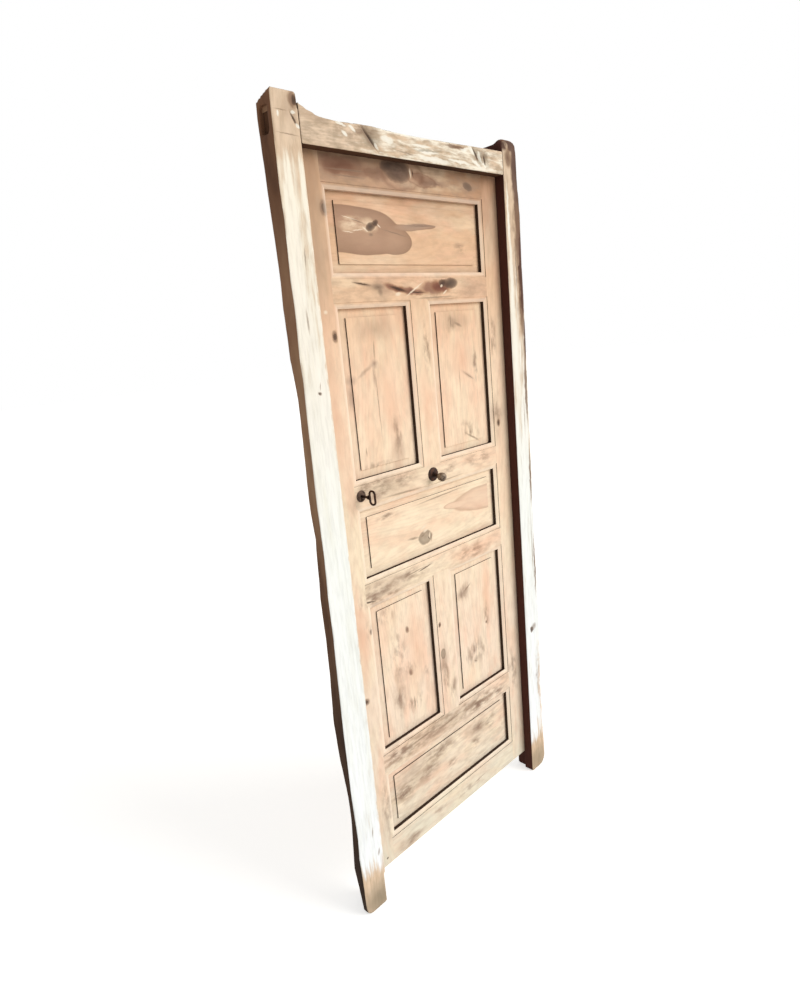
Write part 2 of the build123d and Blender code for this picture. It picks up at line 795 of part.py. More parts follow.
def escutcheon_pins():
    """The two round-headed nails of the escutcheon."""
    pins = []
    for side in (-1, 1):
        x = key_x + side * escutcheon_pin_reach
        head = Pos(x, -escutcheon_edge, key_z) * Sphere(escutcheon_pin_head)
        head &= block(
            x - escutcheon_pin_head, x + escutcheon_pin_head, -escutcheon_dome - escutcheon_pin_head,
            -escutcheon_edge, key_z - escutcheon_pin_head, key_z + escutcheon_pin_head,
        )
        pins.append(head + rod(x, key_z, escutcheon_pin_radius, -escutcheon_edge, escutcheon_pin_length))
    return pins


def drooped(solid):
    """Turns what stands before the rose down to the knob's droop."""
    return Pos(0, -rose_seat, key_z) * Rot(knob_droop, 0, 0) * Pos(0, rose_seat, -key_z) * solid


def knob_rose():
    """The domed iron disc behind the knob, flat where the spindle's collar bears on it."""
    disc = domed_disc(0, key_z, rose_radius, rose_edge, rose_thickness)
    disc -= rod(0, key_z, spindle_collar_radius, -rose_thickness - overrun, -rose_seat)
    return disc - rod(0, key_z, spindle_radius, -rose_thickness - overrun, overrun)


def knob_spindle():
    """The iron spindle through the lock rail, with a collar on the rose and a neck bent down by use."""
    spindle = rod(0, key_z, spindle_radius, -rose_seat, leaf_thickness + nut_height + spindle_tail)
    spindle += rod(0, key_z, spindle_collar_radius, -rose_seat - spindle_collar_length, -rose_seat)
    return spindle + drooped(rod(0, key_z, spindle_radius, -knob_stand - spindle_socket, -rose_seat))


def door_knob():
    """The turned knob, socketed on the end of its spindle."""
    tip = -knob_stand - knob_length
    base = Polyline(
        (0, tip), (0, -knob_stand - spindle_socket), (spindle_radius, -knob_stand - spindle_socket),
        (spindle_radius, -knob_stand), (knob_neck_radius, -knob_stand),
    )
    waist = -knob_stand - knob_length / 2
    swell = Spline(
        (knob_neck_radius, -knob_stand), (knob_radius, waist), (0, tip), tangents=[(1, -1), (-1, 0)]
    )
    return drooped(turned(0, key_z, base + swell))


def knob_nut():
    """The square nut that draws the knob up from the back."""
    nut = block(
        -nut_width / 2, nut_width / 2, leaf_thickness, leaf_thickness + nut_height,
        key_z - nut_width / 2, key_z + nut_width / 2,
    )
    nut = chamfer(nut.faces().sort_by(Axis.Y)[-1].edges(), nut_chamfer)
    return nut - rod(0, key_z, spindle_radius, leaf_thickness - overrun, leaf_thickness + nut_height + overrun)


# Putting the door together
def build_leaf(nodes):
    """Parts the leaf blank into its members and fits their joints."""
    blank = leaf_blank()
    stiles = {}
    for side in (-1, 1):
        stiles[side] = blank & upright_prism(stile_outline(side), -overrun, leaf_thickness + overrun)
    wedges = []
    for rail in rails:
        solid = blank & upright_prism(rail_outline(rail), -overrun, leaf_thickness + overrun)
        for side in (-1, 1):
            tenon = rail_tenon(rail, side)
            pair = rail_wedges(rail, side)
            solid += tenon
            stiles[side] = cut_all(stiles[side], [tenon, *pair])
            wedges += pair
        nodes[rail] = solid
    nodes["lock_stile"] = stiles[-1]
    nodes["hinge_stile"] = stiles[1]
    nodes["tenon_wedges"] = Compound(children=wedges)
    rail_names = list(rails)
    for rail, name in (("lower_rail", "lower_muntin"), ("lock_rail", "upper_muntin")):
        o = openings[rail][0]
        muntin = blank & upright_prism(muntin_outline(o), -overrun, leaf_thickness + overrun)
        rail_above = rail_names[rail_names.index(rail) + 1]
        for up, host in ((True, rail_above), (False, rail)):
            stub = muntin_tenon(o, up)
            muntin += stub
            nodes[host] -= stub
        nodes[name] = muntin
    for o in all_openings:
        nodes[o.name] = fielded_panel(o)


def build_frame(nodes):
    """Makes the posts and the head, with the head's wedges."""
    nodes["left_post"] = post(-1, left_post_width, left_edge_shares, left_wane_shares, left_horn_shares)
    nodes["left_post"] -= head_mortise(-1, left_post_width)
    nodes["left_post"] -= block(
        -clear_half - foot_inset, -clear_half + overrun, -stop_depth - overrun, leaf_thickness + overrun,
        -overrun, foot_bare_height,
    )
    nodes["right_post"] = post(1, right_post_width, right_edge_shares, right_wane_shares, right_horn_shares)
    nodes["right_post"] -= head_mortise(1, right_post_width)
    nodes["head_rail"] = head_rail()
    nodes["head_wedges"] = Compound(children=[head_wedge(-1), head_wedge(1)])


def build_hinges(nodes):
    """Hangs the leaf: hinge leaves let into stile and post, pins and screws."""
    screws = {True: [], False: []}
    hosts = {True: "hinge_stile", False: "right_post"}
    words = {True: "door", False: "frame"}
    for name, row in hinge_rows.items():
        beside = openings[row][0]
        z = (beside.z0 + beside.z1) / 2
        nodes[f"{name}_hinge_pin"] = hinge_pin(z)
        for on_door, host in hosts.items():
            leaf = hinge_leaf(z, on_door)
            finished, bodies = screws_at(hinge_screw_planes(z, on_door), screw_length)
            nodes[host] = cut_all(nodes[host], [leaf, *bodies])
            nodes[f"{name}_hinge_{words[on_door]}_leaf"] = cut_all(leaf, bodies)
            screws[on_door] += finished
    nodes["hinge_door_screws"] = Compound(children=screws[True])
    nodes["hinge_frame_screws"] = Compound(children=screws[False])


def build_lock(nodes):
    """Fits the rim lock, its bolt, key, keeper and escutcheon."""
    screws, bodies = screws_at(lock_screw_planes(), lock_depth + lock_screw_bite)
    nodes["lock_case"] = cut_all(lock_case(), bodies)
    nodes["lock_cover"] = cut_all(lock_cover(), bodies)
    nodes["lock_screws"] = Compound(children=screws)
    for host in ("lock_stile", "lock_rail"):
        nodes[host] = cut_all(nodes[host], bodies)
    nodes["lock_bolt"] = lock_bolt()
    nodes["guide_stud"] = guide_stud()
    nodes["bolt_spring"] = bolt_spring()
    keeper_screws, keeper_bodies = screws_at(keeper_screw_planes(), screw_length)
    nodes["bolt_keeper"] = cut_all(keeper(), keeper_bodies)
    nodes["keeper_screws"] = Compound(children=keeper_screws)
    nodes["left_post"] = cut_all(nodes["left_post"], keeper_bodies)
    nodes["key"] = key()
    pins = escutcheon_pins()
    nodes["keyhole_escutcheon"] = cut_all(escutcheon(), pins)
    nodes["escutcheon_pins"] = Compound(children=pins)
    nodes["lock_rail"] = cut_all(nodes["lock_rail"], pins)
    nodes["lock_rail"] -= key_passage(-overrun, leaf_thickness + overrun, keyhole_clearance * 2)


def build_knob(nodes):
    """Fits the pull knob through the lock rail."""
    nodes["knob_rose"] = knob_rose()
    nodes["knob_spindle"] = knob_spindle()
    nodes["door_knob"] = door_knob()
    nodes["knob_nut"] = knob_nut()
    nodes["lock_rail"] -= rod(0, key_z, spindle_radius, -overrun, leaf_thickness + overrun)


def main():
    """Builds every piece and writes one file for each."""
    nodes = {}
    build_leaf(nodes)
    build_frame(nodes)
    build_hinges(nodes)
    build_lock(nodes)
    build_knob(nodes)
    os.makedirs("parts", exist_ok=True)
    for name, shape in nodes.items():
        export_step(shape, f"parts/{name}.step")
    print(len(nodes), "pieces; key at", key_x, key_z, "; bolt metres per radian", bolt_throw / 2 / pi / 1000)


main()
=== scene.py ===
"""An old bare-pine panelled door leaf in its rough frame of two posts and a head.

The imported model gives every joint, board and fitting its place. This script roughens the frame's
timbers, softens the leaf's arrises, gives each board its own figure, knots and stains, and sets a
camera and soft studio light. Lengths are millimetres unless a name says otherwise.
"""

from __future__ import annotations

import json
import logging
import math
import random
from dataclasses import dataclass, field
from enum import Enum
from typing import Any, Sequence

import bpy
from mathutils import Euler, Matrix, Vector, noise
from mathutils.bvhtree import BVHTree

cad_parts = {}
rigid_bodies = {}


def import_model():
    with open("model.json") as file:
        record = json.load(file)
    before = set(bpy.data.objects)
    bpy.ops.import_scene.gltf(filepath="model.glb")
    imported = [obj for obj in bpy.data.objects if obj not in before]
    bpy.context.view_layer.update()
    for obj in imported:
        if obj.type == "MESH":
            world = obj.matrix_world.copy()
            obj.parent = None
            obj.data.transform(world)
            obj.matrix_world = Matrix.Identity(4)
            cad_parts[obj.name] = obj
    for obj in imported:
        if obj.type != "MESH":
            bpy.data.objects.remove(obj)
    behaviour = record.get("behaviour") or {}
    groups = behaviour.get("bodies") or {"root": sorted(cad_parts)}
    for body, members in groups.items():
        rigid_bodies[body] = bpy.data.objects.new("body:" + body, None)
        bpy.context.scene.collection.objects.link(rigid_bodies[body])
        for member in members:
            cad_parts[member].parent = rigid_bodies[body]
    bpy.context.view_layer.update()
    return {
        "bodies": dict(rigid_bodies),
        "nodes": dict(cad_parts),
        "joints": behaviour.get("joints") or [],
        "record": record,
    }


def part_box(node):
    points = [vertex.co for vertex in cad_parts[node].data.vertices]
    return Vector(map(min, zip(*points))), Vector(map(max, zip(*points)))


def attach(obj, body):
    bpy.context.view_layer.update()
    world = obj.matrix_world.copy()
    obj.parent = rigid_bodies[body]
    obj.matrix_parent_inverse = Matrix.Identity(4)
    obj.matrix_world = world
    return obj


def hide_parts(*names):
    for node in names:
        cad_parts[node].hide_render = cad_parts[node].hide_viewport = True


LOG = logging.getLogger("door")
MM = 0.001
POST_HEIGHT = 2122.0
NOISE_MIDDLE = (0.5, 0.5, 0.5)

Colour = tuple[float, float, float, float]
Stops = Sequence[tuple[float, str] | tuple[float, str, float]]
Pair = tuple[float, float]
Tree = bpy.types.NodeTree
Node = bpy.types.Node
Material = bpy.types.Material


def linear(code: str, alpha: float = 1.0) -> Colour:
    """Turns an sRGB hex colour into linear values.

    Args:
        code: The colour, such as "#d9c3a6".
        alpha: Its share of cover.

    Returns:
        Linear red, green, blue and alpha.
    """
    parts = [int(code[i : i + 2], 16) / 255 for i in (1, 3, 5)]
    curve = [c / 12.92 if c <= 0.04045 else ((c + 0.055) / 1.055) ** 2.4 for c in parts]
    return (curve[0], curve[1], curve[2], alpha)


def add(
    tree: Tree, kind: str, inputs: dict[Any, Any] | None = None, stops: Stops = (), **settings: Any
) -> Node:
    """Adds a shader node, sets it and fills or links its inputs.

    Args:
        tree: The node tree to add to.
        kind: The node's type, without the words that every shader node's type starts with.
        inputs: Values, sockets or nodes by input name or index; a node stands for its first live output.
        stops: The places and colours of a colour ramp, with alphas where they are not whole.
        **settings: The node's own properties.

    Returns:
        The new node.
    """
    node = tree.nodes.new(f"ShaderNode{kind}")
    for name, value in settings.items():
        setattr(node, name, value)
    for key, value in (inputs or {}).items():
        if isinstance(value, Node):
            value = next(socket for socket in value.outputs if socket.enabled)
        if isinstance(value, bpy.types.NodeSocket):
            tree.links.new(value, node.inputs[key])
        else:
            node.inputs[key].default_value = value
    for place, (at, code, *alpha) in enumerate(stops):
        elements = node.color_ramp.elements
        element = elements[place] if place < 2 else elements.new(at)
        element.position = at
        element.color = linear(code, *alpha)
    return node


def blank(owner: Material | bpy.types.World) -> Tree:
    """Gives a material or world an empty node tree.

    Args:
        owner: The material or world.

    Returns:
        The tree.
    """
    owner.use_nodes = True
    owner.node_tree.nodes.clear()
    return owner.node_tree


def drawn_noise(
    tree: Tree, vector: Node, cell: Sequence[float], detail: float, roughness: float = 0.6, shift: float = 0.0
) -> Node:
    """Adds noise that is drawn out along an axis.

    Args:
        tree: The material's node tree.
        vector: The place in millimetres.
        cell: The size of a cell of the noise along each axis.
        detail: How many finer layers it has.
        roughness: How strong they are.
        shift: How far the pattern is moved, in cells.

    Returns:
        The noise node.
    """
    scale = [1 / size for size in cell]
    drawn = add(tree, "Mapping", {0: vector, "Location": (shift, 0, 0), "Scale": scale})
    return add(tree, "TexNoise", {"Vector": drawn, "Scale": 1.0, "Detail": detail, "Roughness": roughness})


class Grain(Enum):
    """Which way a board's fibres run."""

    UPRIGHT = "upright"
    LEVEL = "level"


class Edge(Enum):
    """How ragged a mark's outline is: the ripple's reach and grain in millimetres, and its finer layers."""

    CLEAN = (1.5, 9.0, 3.0)
    FLOWING = (5.0, 70.0, 0.6)
    RIPPLED = (3.5, 14.0, 3.0)
    RAGGED = (7.0, 26.0, 3.0)
    LOOSE = (20.0, 55.0, 3.0)


@dataclass(frozen=True)
class Stain:
    """What a mark looks like: its colours from the middle outwards, its edge, and its texture.

    A gritty stain sits in the grain, so it breaks up into the wood's mottle.
    """

    stops: Stops
    edge: Edge = Edge.CLEAN
    gritty: bool = False


class MarkKind(Enum):
    """The kinds of mark that the wood carries."""

    KNOT = Stain(
        ((0.0, "#2f2019", 0.95), (0.22, "#5a3f2e", 0.9), (0.36, "#38271d", 0.9), (0.55, "#7d5a41", 0.7),
         (0.66, "#5d4231", 0.6), (1.0, "#b98b60", 0.0)), Edge.RIPPLED,
    )
    GREY_KNOT = Stain(
        ((0.0, "#927f6b", 0.78), (0.4, "#9b8975", 0.74), (0.8, "#8b7966", 0.82), (0.92, "#a08d77", 0.5),
         (1.0, "#d8c3a4", 0.0)), Edge.RIPPLED,
    )
    BURR = Stain(
        ((0.0, "#43342b", 0.92), (0.45, "#543f32", 0.9), (0.75, "#654e3e", 0.82), (0.92, "#7d614b", 0.5),
         (1.0, "#a5835f", 0.0)), Edge.RIPPLED,
    )
    HEART = Stain(
        ((0.0, "#a3806a", 0.7), (0.5, "#9b7862", 0.74), (0.85, "#93715a", 0.8), (0.965, "#8b6953", 0.82),
         (1.0, "#a98663", 0.0)), Edge.FLOWING,
    )
    FLAME = Stain(
        ((0.0, "#e9c2a8", 0.5), (0.75, "#dfb499", 0.55), (0.93, "#bf987d", 0.62), (1.0, "#dcae8c", 0.0)),
        Edge.FLOWING,
    )
    SWIRL = Stain(
        ((0.0, "#8a6248", 0.0), (0.66, "#8a6248", 0.0), (0.85, "#7d573f", 0.45), (1.0, "#8a6248", 0.0)),
        Edge.RAGGED,
    )
    SMUDGE = Stain(((0.0, "#75594a", 0.75), (0.5, "#8b6d59", 0.5), (1.0, "#b3937a", 0.0)), Edge.LOOSE, True)
    HAZE = Stain(((0.0, "#9a7f69", 0.42), (0.5, "#a88d76", 0.26), (1.0, "#b89b7c", 0.0)), Edge.LOOSE)
    DAMP = Stain(((0.0, "#857863", 0.64), (0.6, "#94856f", 0.46), (1.0, "#b39d82", 0.0)), Edge.LOOSE)
    BLUSH = Stain(((0.0, "#eab593", 0.55), (0.6, "#edbf9f", 0.34), (1.0, "#f2ccb0", 0.0)), Edge.LOOSE)
    REDDISH = Stain(((0.0, "#66382a", 0.88), (0.6, "#7d4a36", 0.72), (1.0, "#b98b60", 0.0)), Edge.RAGGED)
    RUDDY = Stain(((0.0, "#68412e", 0.74), (0.6, "#7b523d", 0.52), (1.0, "#a87e60", 0.0)), Edge.LOOSE)
    PALE = Stain(((0.0, "#ecd2b2", 0.95), (0.6, "#e6c8a6", 0.7), (1.0, "#e2c09c", 0.0)), Edge.RAGGED, True)
    STREAK = Stain(((0.0, "#8f7462", 0.55), (0.5, "#a58b78", 0.36), (1.0, "#c4aa92", 0.0)), Edge.RIPPLED)
    CRACK = Stain(((0.0, "#2a1b14", 0.95), (0.55, "#4a3526", 0.75), (1.0, "#6b4f3a", 0.0)))
    LINE = Stain(((0.0, "#7d6450", 0.75), (0.5, "#8d7560", 0.5), (1.0, "#a88d72", 0.0)))
    SCRATCH = Stain(((0.0, "#f3e0c8", 0.9), (0.6, "#efd9bd", 0.7), (1.0, "#ead2b3", 0.0)))
    BARE = Stain(((0.0, "#6d4f3d", 0.92), (0.6, "#84664f", 0.8), (1.0, "#a98868", 0.0)), Edge.RAGGED)
    BROWN = Stain(((0.0, "#4c3129", 0.95), (0.75, "#5a3d33", 0.9), (1.0, "#86674f", 0.0)), Edge.RAGGED)
    RUBBED = Stain(((0.0, "#cfae8b", 0.9), (0.6, "#dac0a0", 0.6), (1.0, "#efe0c8", 0.0)), Edge.RAGGED, True)
    LIME = Stain(((0.0, "#f8f3e6", 0.9), (0.7, "#f3ecdb", 0.8), (1.0, "#efe5d0", 0.0)), Edge.RAGGED)


Lobe = tuple[float, float, float, float, float]


@dataclass(frozen=True)
class Mark:
    """One knot, stain, crack or scratch, by its middle, its full size and its turn in degrees.

    Lobes are further ovals that join in one outline. A depth keeps the mark to a face at that place.
    """

    kind: MarkKind
    x: float
    z: float
    width: float
    height: float
    turn: float = 0.0
    lobes: tuple[Lobe, ...] = ()
    face: float = 0.0
    depth: float = 1e5

    def ovals(self) -> tuple[Lobe, ...]:
        """Lists every oval of the mark's outline."""
        return ((self.x, self.z, self.width, self.height, self.turn), *self.lobes)


def lay(*rows: Sequence[Any]) -> tuple[Mark, ...]:
    """Lists a board's marks in the order in which they are drawn.

    Args:
        *rows: A kind of mark, then each of its marks, as the mark's other values.

    Returns:
        The marks.
    """
    return tuple(Mark(kind, *values) for kind, *marks in rows for values in marks)


# Where the raised fields of the panels lie, and the depth that a mark keeps to there.
FIELD_FACE = 11.2
FIELD_DEPTH = 6.0
# How softly the lobes of a mark run together.
LOBE_BLEND = 0.2

# A row is a kind of mark, then the middle across and up, the width, the height and the turn of each, with
# any lobes, face and depth. Later marks lie over earlier ones.
K = MarkKind
MARKS: dict[str, tuple[Mark, ...]] = {
    "top_rail": lay(
        (K.HAZE, (-120, 1990, 620, 130), (-230, 1990, 260, 120)),
        (K.RUDDY, (-225, 1996, 190, 70, -3), (-250, 1996, 150, 60, -3)),
        (K.LINE, (-200, 1986, 190, 6, 1), (-215, 1972, 150, 5, -1)),
        (K.RUDDY, (-120, 1988, 120, 40, 3)),
        (K.HAZE, (-40, 1994, 230, 100)),
        (K.SWIRL, (-24, 1992, 176, 84, 3)),
        (K.RUDDY, (60, 1986, 130, 40, -4)),
        (K.SWIRL, (46, 1984, 128, 36, -6)),
        (K.BURR, (-44, 2001, 108, 66, -4, ((-74, 2008, 70, 34, 6),))),
        (K.SMUDGE, (-44, 1986, 90, 40), (104, 1976, 110, 40, -3)),
        (K.SCRATCH, (5, 1998, 7, 30, 8)),
        (K.CRACK, (14, 1998, 6, 26, 8)),
        (K.BURR, (240, 1983, 46, 24, -15)),
        (K.HAZE, (240, 1985, 120, 60)),
    ),
    "top_panel": lay(
        (K.HEART,
         (-205, 1854, 330, 116, 0,
          ((-70, 1835, 150, 76, -4), (-150, 1834, 230, 78, 0),
           (-300, 1854, 200, 114, 0), (6, 1868, 196, 17, 3)),
          FIELD_FACE, FIELD_DEPTH)),
        (K.STREAK, (8, 1868, 150, 24, 3), (40, 1871, 160, 12, 2)),
        (K.LINE, (50, 1872, 130, 6, 2), (-60, 1850, 130, 5, -10)),
        (K.PALE, (-206, 1866, 110, 46), (-150, 1864, 70, 50)),
        (K.SCRATCH, (-212, 1880, 64, 3, -10), (-190, 1853, 50, 3.5, 8), (-222, 1848, 44, 3, -4),
         (-164, 1856, 26, 6, -30), (-116, 1866, 20, 4, -38)),
        (K.LINE, (-188, 1874, 66, 5, -14)),
        (K.BURR, (-146, 1862, 36, 22, 16), (-128, 1872, 26, 16, 24)),
        (K.LINE, (-146, 1844, 22, 12)),
        (K.SMUDGE, (205, 1822, 70, 40)),
    ),
    "frieze_rail": lay(
        (K.HAZE, (240, 1708, 190, 80), (-130, 1712, 140, 70)),
        (K.REDDISH, (72, 1710, 150, 50), (92, 1713, 96, 40), (-30, 1703, 150, 22, -6),
         (-90, 1712, 90, 24, -12)),
        (K.LINE, (-152, 1716, 66, 22, 0, ((-143, 1706, 24, 38, 14), (-196, 1722, 90, 12, -8))),
         (-148, 1714, 40, 18)),
        (K.BURR, (136, 1721, 68, 32, 2, ((104, 1722, 40, 22, 0),))),
        (K.CRACK, (-206, 1724, 70, 5, -8), (-76, 1709, 84, 11, -13), (-6, 1699, 80, 5, -2)),
        (K.LINE, (70, 1684, 190, 7, 1)),
        (K.SCRATCH, (-14, 1707, 92, 6, 27), (-78, 1696, 26, 12, 10), (97, 1714, 13, 9, 30),
         (110, 1697, 26, 7, 30)),
    ),
    "lock_stile": lay(
        (K.HAZE, (-335, 1890, 120, 380), (-335, 1760, 110, 300)),
        (K.KNOT, (-299, 1896, 34, 46, 8)),
        (K.HAZE, (-299, 1896, 70, 90)),
        (K.KNOT, (-309, 1601, 22, 36), (-340, 618, 24, 26), (-296, 811, 12, 22)),
        (K.SMUDGE, (-300, 815, 40, 60)),
        (K.CRACK, (-328, 95, 10, 8)),
        (K.BLUSH, (-335, 1400, 70, 420), (-332, 780, 60, 340)),
        (K.SMUDGE, (-310, 250, 50, 240), (-300, 905, 70, 60)),
        (K.LINE, (-352, 1250, 5, 50, 6)),
        (K.SCRATCH, (-330, 1660, 16, 12)),
    ),
    "hinge_stile": lay(
        (K.HAZE, (335, 1880, 110, 320)),
        (K.SMUDGE, (316, 1320, 60, 140)),
        (K.HAZE, (320, 1310, 70, 190)),
        (K.KNOT, (324, 1292, 22, 30)),
        (K.SMUDGE, (318, 1560, 40, 180), (330, 420, 60, 200)),
    ),
    "upper_muntin": lay(
        (K.SMUDGE, (14, 1560, 40, 180)),
        (K.BLUSH, (0, 1400, 60, 260)),
    ),
    "upper_left_panel": lay(
        (K.HAZE, (-160, 1612, 190, 80)),
        (K.LINE, (-174, 1560, 6, 60, -4)),
        (K.STREAK, (-178, 1524, 36, 30), (-178, 1526, 18, 16), (-182, 1490, 12, 80, 3),
         (-212, 1508, 84, 16, 29), (-262, 1489, 44, 34), (-266, 1450, 26, 90)),
        (K.BLUSH, (-130, 1400, 80, 300)),
        (K.HAZE, (-120, 1290, 70, 130)),
        (K.SMUDGE, (-118, 1330, 50, 130)),
        (K.LINE, (-236, 1300, 5, 30), (-176, 1420, 4, 240, 1)),
        (K.SMUDGE, (-200, 1262, 130, 24)),
    ),
    "upper_right_panel": lay(
        (K.HAZE, (160, 1618, 190, 66)),
        (K.SMUDGE, (136, 1612, 44, 50)),
        (K.LINE, (138, 1616, 7, 44), (170, 1606, 44, 12, -22)),
        (K.STREAK, (199, 1457, 84, 16, -29)),
        (K.LINE, (202, 1455, 64, 6, -29), (162, 1450, 5, 90)),
        (K.BLUSH, (170, 1500, 110, 170)),
        (K.LINE, (206, 1266, 96, 8, -27)),
        (K.SMUDGE, (190, 1290, 120, 60, -25), (236, 1480, 24, 150)),
    ),
    "lock_rail": lay(
        (K.HAZE, (-190, 1196, 330, 90)),
        (K.SMUDGE, (-225, 1198, 170, 80), (-270, 1212, 60, 50), (-120, 1204, 130, 60), (70, 1196, 90, 40),
         (210, 1196, 150, 40)),
        (K.LINE, (60, 1164, 170, 5, 2), (-120, 1166, 200, 8, -2)),
    ),
    "middle_panel": lay(
        (K.FLAME, (300, 1066, 440, 86, -2, ((112, 1073, 136, 22, -6),), FIELD_FACE, FIELD_DEPTH)),
        (K.LINE, (40, 1118, 260, 6, 2)),
        (K.SCRATCH, (-46, 1042, 40, 12, 20)),
        (K.GREY_KNOT, (-42, 1010, 62, 46)),
        (K.SCRATCH, (-24, 1010, 8, 30, -14)),
        (K.LINE, (-16, 1004, 8, 34, -14)),
        (K.CRACK, (-27, 1004, 5, 14, 20)),
        (K.LINE, (-52, 1018, 24, 8, 20)),
        # This pale mark at the knot's top is a painted highlight.
        (K.SCRATCH, (-40, 1030, 26, 10, 10)),
        (K.LINE, (-92, 1020, 56, 10, -6)),
        (K.SMUDGE, (-190, 1110, 110, 24)),
    ),
    "middle_rail": lay(
        (K.HAZE, (-220, 917, 320, 90)),
        (K.SMUDGE, (-260, 913, 190, 90), (-290, 902, 90, 60)),
        (K.CRACK, (-292, 897, 62, 6, -10)),
        (K.SMUDGE, (-130, 923, 180, 60)),
        (K.CRACK, (-66, 925, 70, 5, 8)),
        (K.LINE, (-110, 926, 110, 6, 4)),
        (K.BLUSH, (160, 915, 320, 70)),
        (K.SMUDGE, (150, 912, 220, 60), (-215, 888, 150, 20, 3)),
    ),
    "lower_left_panel": lay(
        (K.SMUDGE, (-228, 832, 90, 60)),
        (K.KNOT, (-151, 758, 17, 28, 15), (-151, 620, 18, 26, 10)),
        (K.SMUDGE, (-150, 640, 70, 60), (-90, 600, 44, 44)),
        (K.HAZE, (-205, 572, 60, 150)),
        (K.SMUDGE, (-205, 560, 60, 150)),
        (K.LINE, (-147, 520, 7, 50)),
        (K.BLUSH, (-120, 690, 110, 300)),
        (K.SMUDGE, (-196, 690, 80, 180), (-140, 520, 90, 70)),
    ),
    "lower_right_panel": lay(
        (K.SMUDGE, (112, 786, 80, 60, 30)),
        (K.STREAK, (99, 778, 22, 32, 25)),
        (K.LINE, (128, 794, 50, 8, 28)),
        (K.BLUSH, (222, 730, 60, 280)),
        (K.SMUDGE, (214, 660, 40, 130), (150, 560, 150, 110)),
        (K.STREAK, (148, 534, 38, 30)),
        (K.LINE, (146, 530, 22, 8, -30)),
        (K.KNOT, (212, 643, 9, 13)),
    ),
    "lower_muntin": lay(
        (K.HAZE, (-16, 600, 46, 190)),
        (K.GREY_KNOT, (-18, 628, 24, 38)),
        (K.SMUDGE, (-14, 560, 44, 170)),
        (K.KNOT, (-24, 727, 13, 22)),
        (K.SMUDGE, (20, 500, 40, 100)),
    ),
    "lower_rail": lay(
        (K.HAZE, (-60, 394, 620, 90)),
        (K.SMUDGE, (-210, 398, 240, 90), (-250, 402, 110, 50), (-60, 398, 260, 70), (110, 388, 260, 80),
         (140, 386, 170, 50), (230, 380, 120, 60)),
        (K.LINE, (-150, 400, 160, 9, 2), (-20, 392, 150, 8, 4), (120, 390, 120, 12, -3)),
    ),
    "bottom_panel": lay(
        (K.HAZE, (-160, 276, 330, 140)),
        (K.SMUDGE, (-215, 258, 150, 90), (-225, 250, 70, 44, 10), (-110, 270, 130, 80), (-8, 230, 70, 50),
         (-60, 305, 240, 50)),
        (K.HAZE, (134, 288, 150, 90)),
        (K.SMUDGE, (134, 288, 90, 60)),
        (K.STREAK, (134, 288, 60, 50), (134, 288, 28, 24)),
        (K.LINE, (140, 292, 40, 6, 30)),
        (K.SMUDGE, (112, 245, 60, 40), (200, 280, 80, 90)),
    ),
    "bottom_rail": lay(
        (K.HAZE, (-230, 90, 150, 50)),
        (K.SMUDGE, (-225, 92, 120, 40), (-93, 114, 80, 30)),
        (K.LINE, (112, 110, 80, 5, 6)),
        (K.SMUDGE, (60, 106, 170, 26)),
    ),
    "left_post": lay(
        (K.HAZE, (-390, 2084, 60, 90)),
        (K.BARE, (-382, 2104, 36, 44)),
        (K.BURR, (-376, 2104, 20, 24)),
        (K.LIME, (-384, 2078, 12, 10)),
        (K.CRACK, (-384, 2066, 7, 34, 30)),
        (K.LIME, (-374, 2052, 15, 9, -30), (-426, 2070, 7, 16, 8)),
        (K.LINE, (-418, 2079, 44, 3.5), (-405, 2033, 76, 4, -2), (-412, 1640, 8, 70, 2),
         (-398, 1780, 6, 60, -3)),
        (K.KNOT, (-402, 1474, 16, 11, -30)),
        (K.LINE, (-398, 1490, 4, 26, -8), (-400, 250, 6, 40, -8), (-385, 176, 9, 30, -12)),
        (K.RUBBED, (-371, 1500, 12, 900), (-370, 1750, 18, 500), (-370, 800, 10, 900),
         (-371, 300, 12, 500)),
        (K.DAMP, (-400, 40, 150, 150), (-390, 20, 160, 110)),
    ),
    "head_rail": lay(
        (K.HAZE, (-330, 2082, 130, 34)),
        (K.DAMP, (-160, 2056, 90, 66)),
        (K.SMUDGE, (-200, 2066, 170, 50)),
        (K.LINE, (-168, 2052, 22, 96, 44)),
        (K.CRACK, (-160, 2054, 11, 84, 44)),
        (K.LIME, (-139, 2038, 7, 24, 30), (-240, 2056, 26, 12, -30), (-216, 2068, 30, 9, -30),
         (-250, 2074, 40, 7, -5), (-104, 2058, 50, 22, -8), (-12, 2077, 220, 10), (20, 2057, 80, 8),
         (36, 2045, 110, 9, -3), (66, 2028, 150, 16, -2)),
        (K.DAMP, (40, 2051, 120, 8)),
        (K.BARE, (160, 2070, 100, 14)),
        (K.LIME, (198, 2068, 50, 10, 6), (170, 2034, 120, 10, -3)),
        (K.DAMP, (262, 2056, 90, 60)),
        (K.SMUDGE, (270, 2056, 80, 60)),
        (K.LIME, (226, 2070, 40, 20, -30)),
        (K.CRACK, (246, 2064, 8, 46, 36)),
        (K.LIME, (262, 2054, 12, 40, 30)),
        (K.CRACK, (288, 2050, 12, 36, 14)),
        (K.LIME, (286, 2036, 40, 10, -6), (246, 2036, 60, 12, -30)),
        (K.LINE, (-40, 2034, 90, 5, -4)),
    ),
    "right_post": lay(
        (K.BROWN, (410, 2112, 160, 62, 0, ((432, 2040, 56, 200, 0), (436, 1930, 44, 200, 0)))),
        # This pale streak on the horn's face is a painted highlight.
        (K.PALE, (389, 2104, 18, 44, 6)),
        (K.BARE, (396, 2066, 40, 60)),
        (K.LIME, (384, 1900, 11, 220), (387, 1680, 20, 400), (392, 1470, 36, 420)),
        (K.BARE, (430, 1830, 40, 260)),
        (K.SMUDGE, (420, 1850, 50, 360), (426, 1700, 40, 300)),
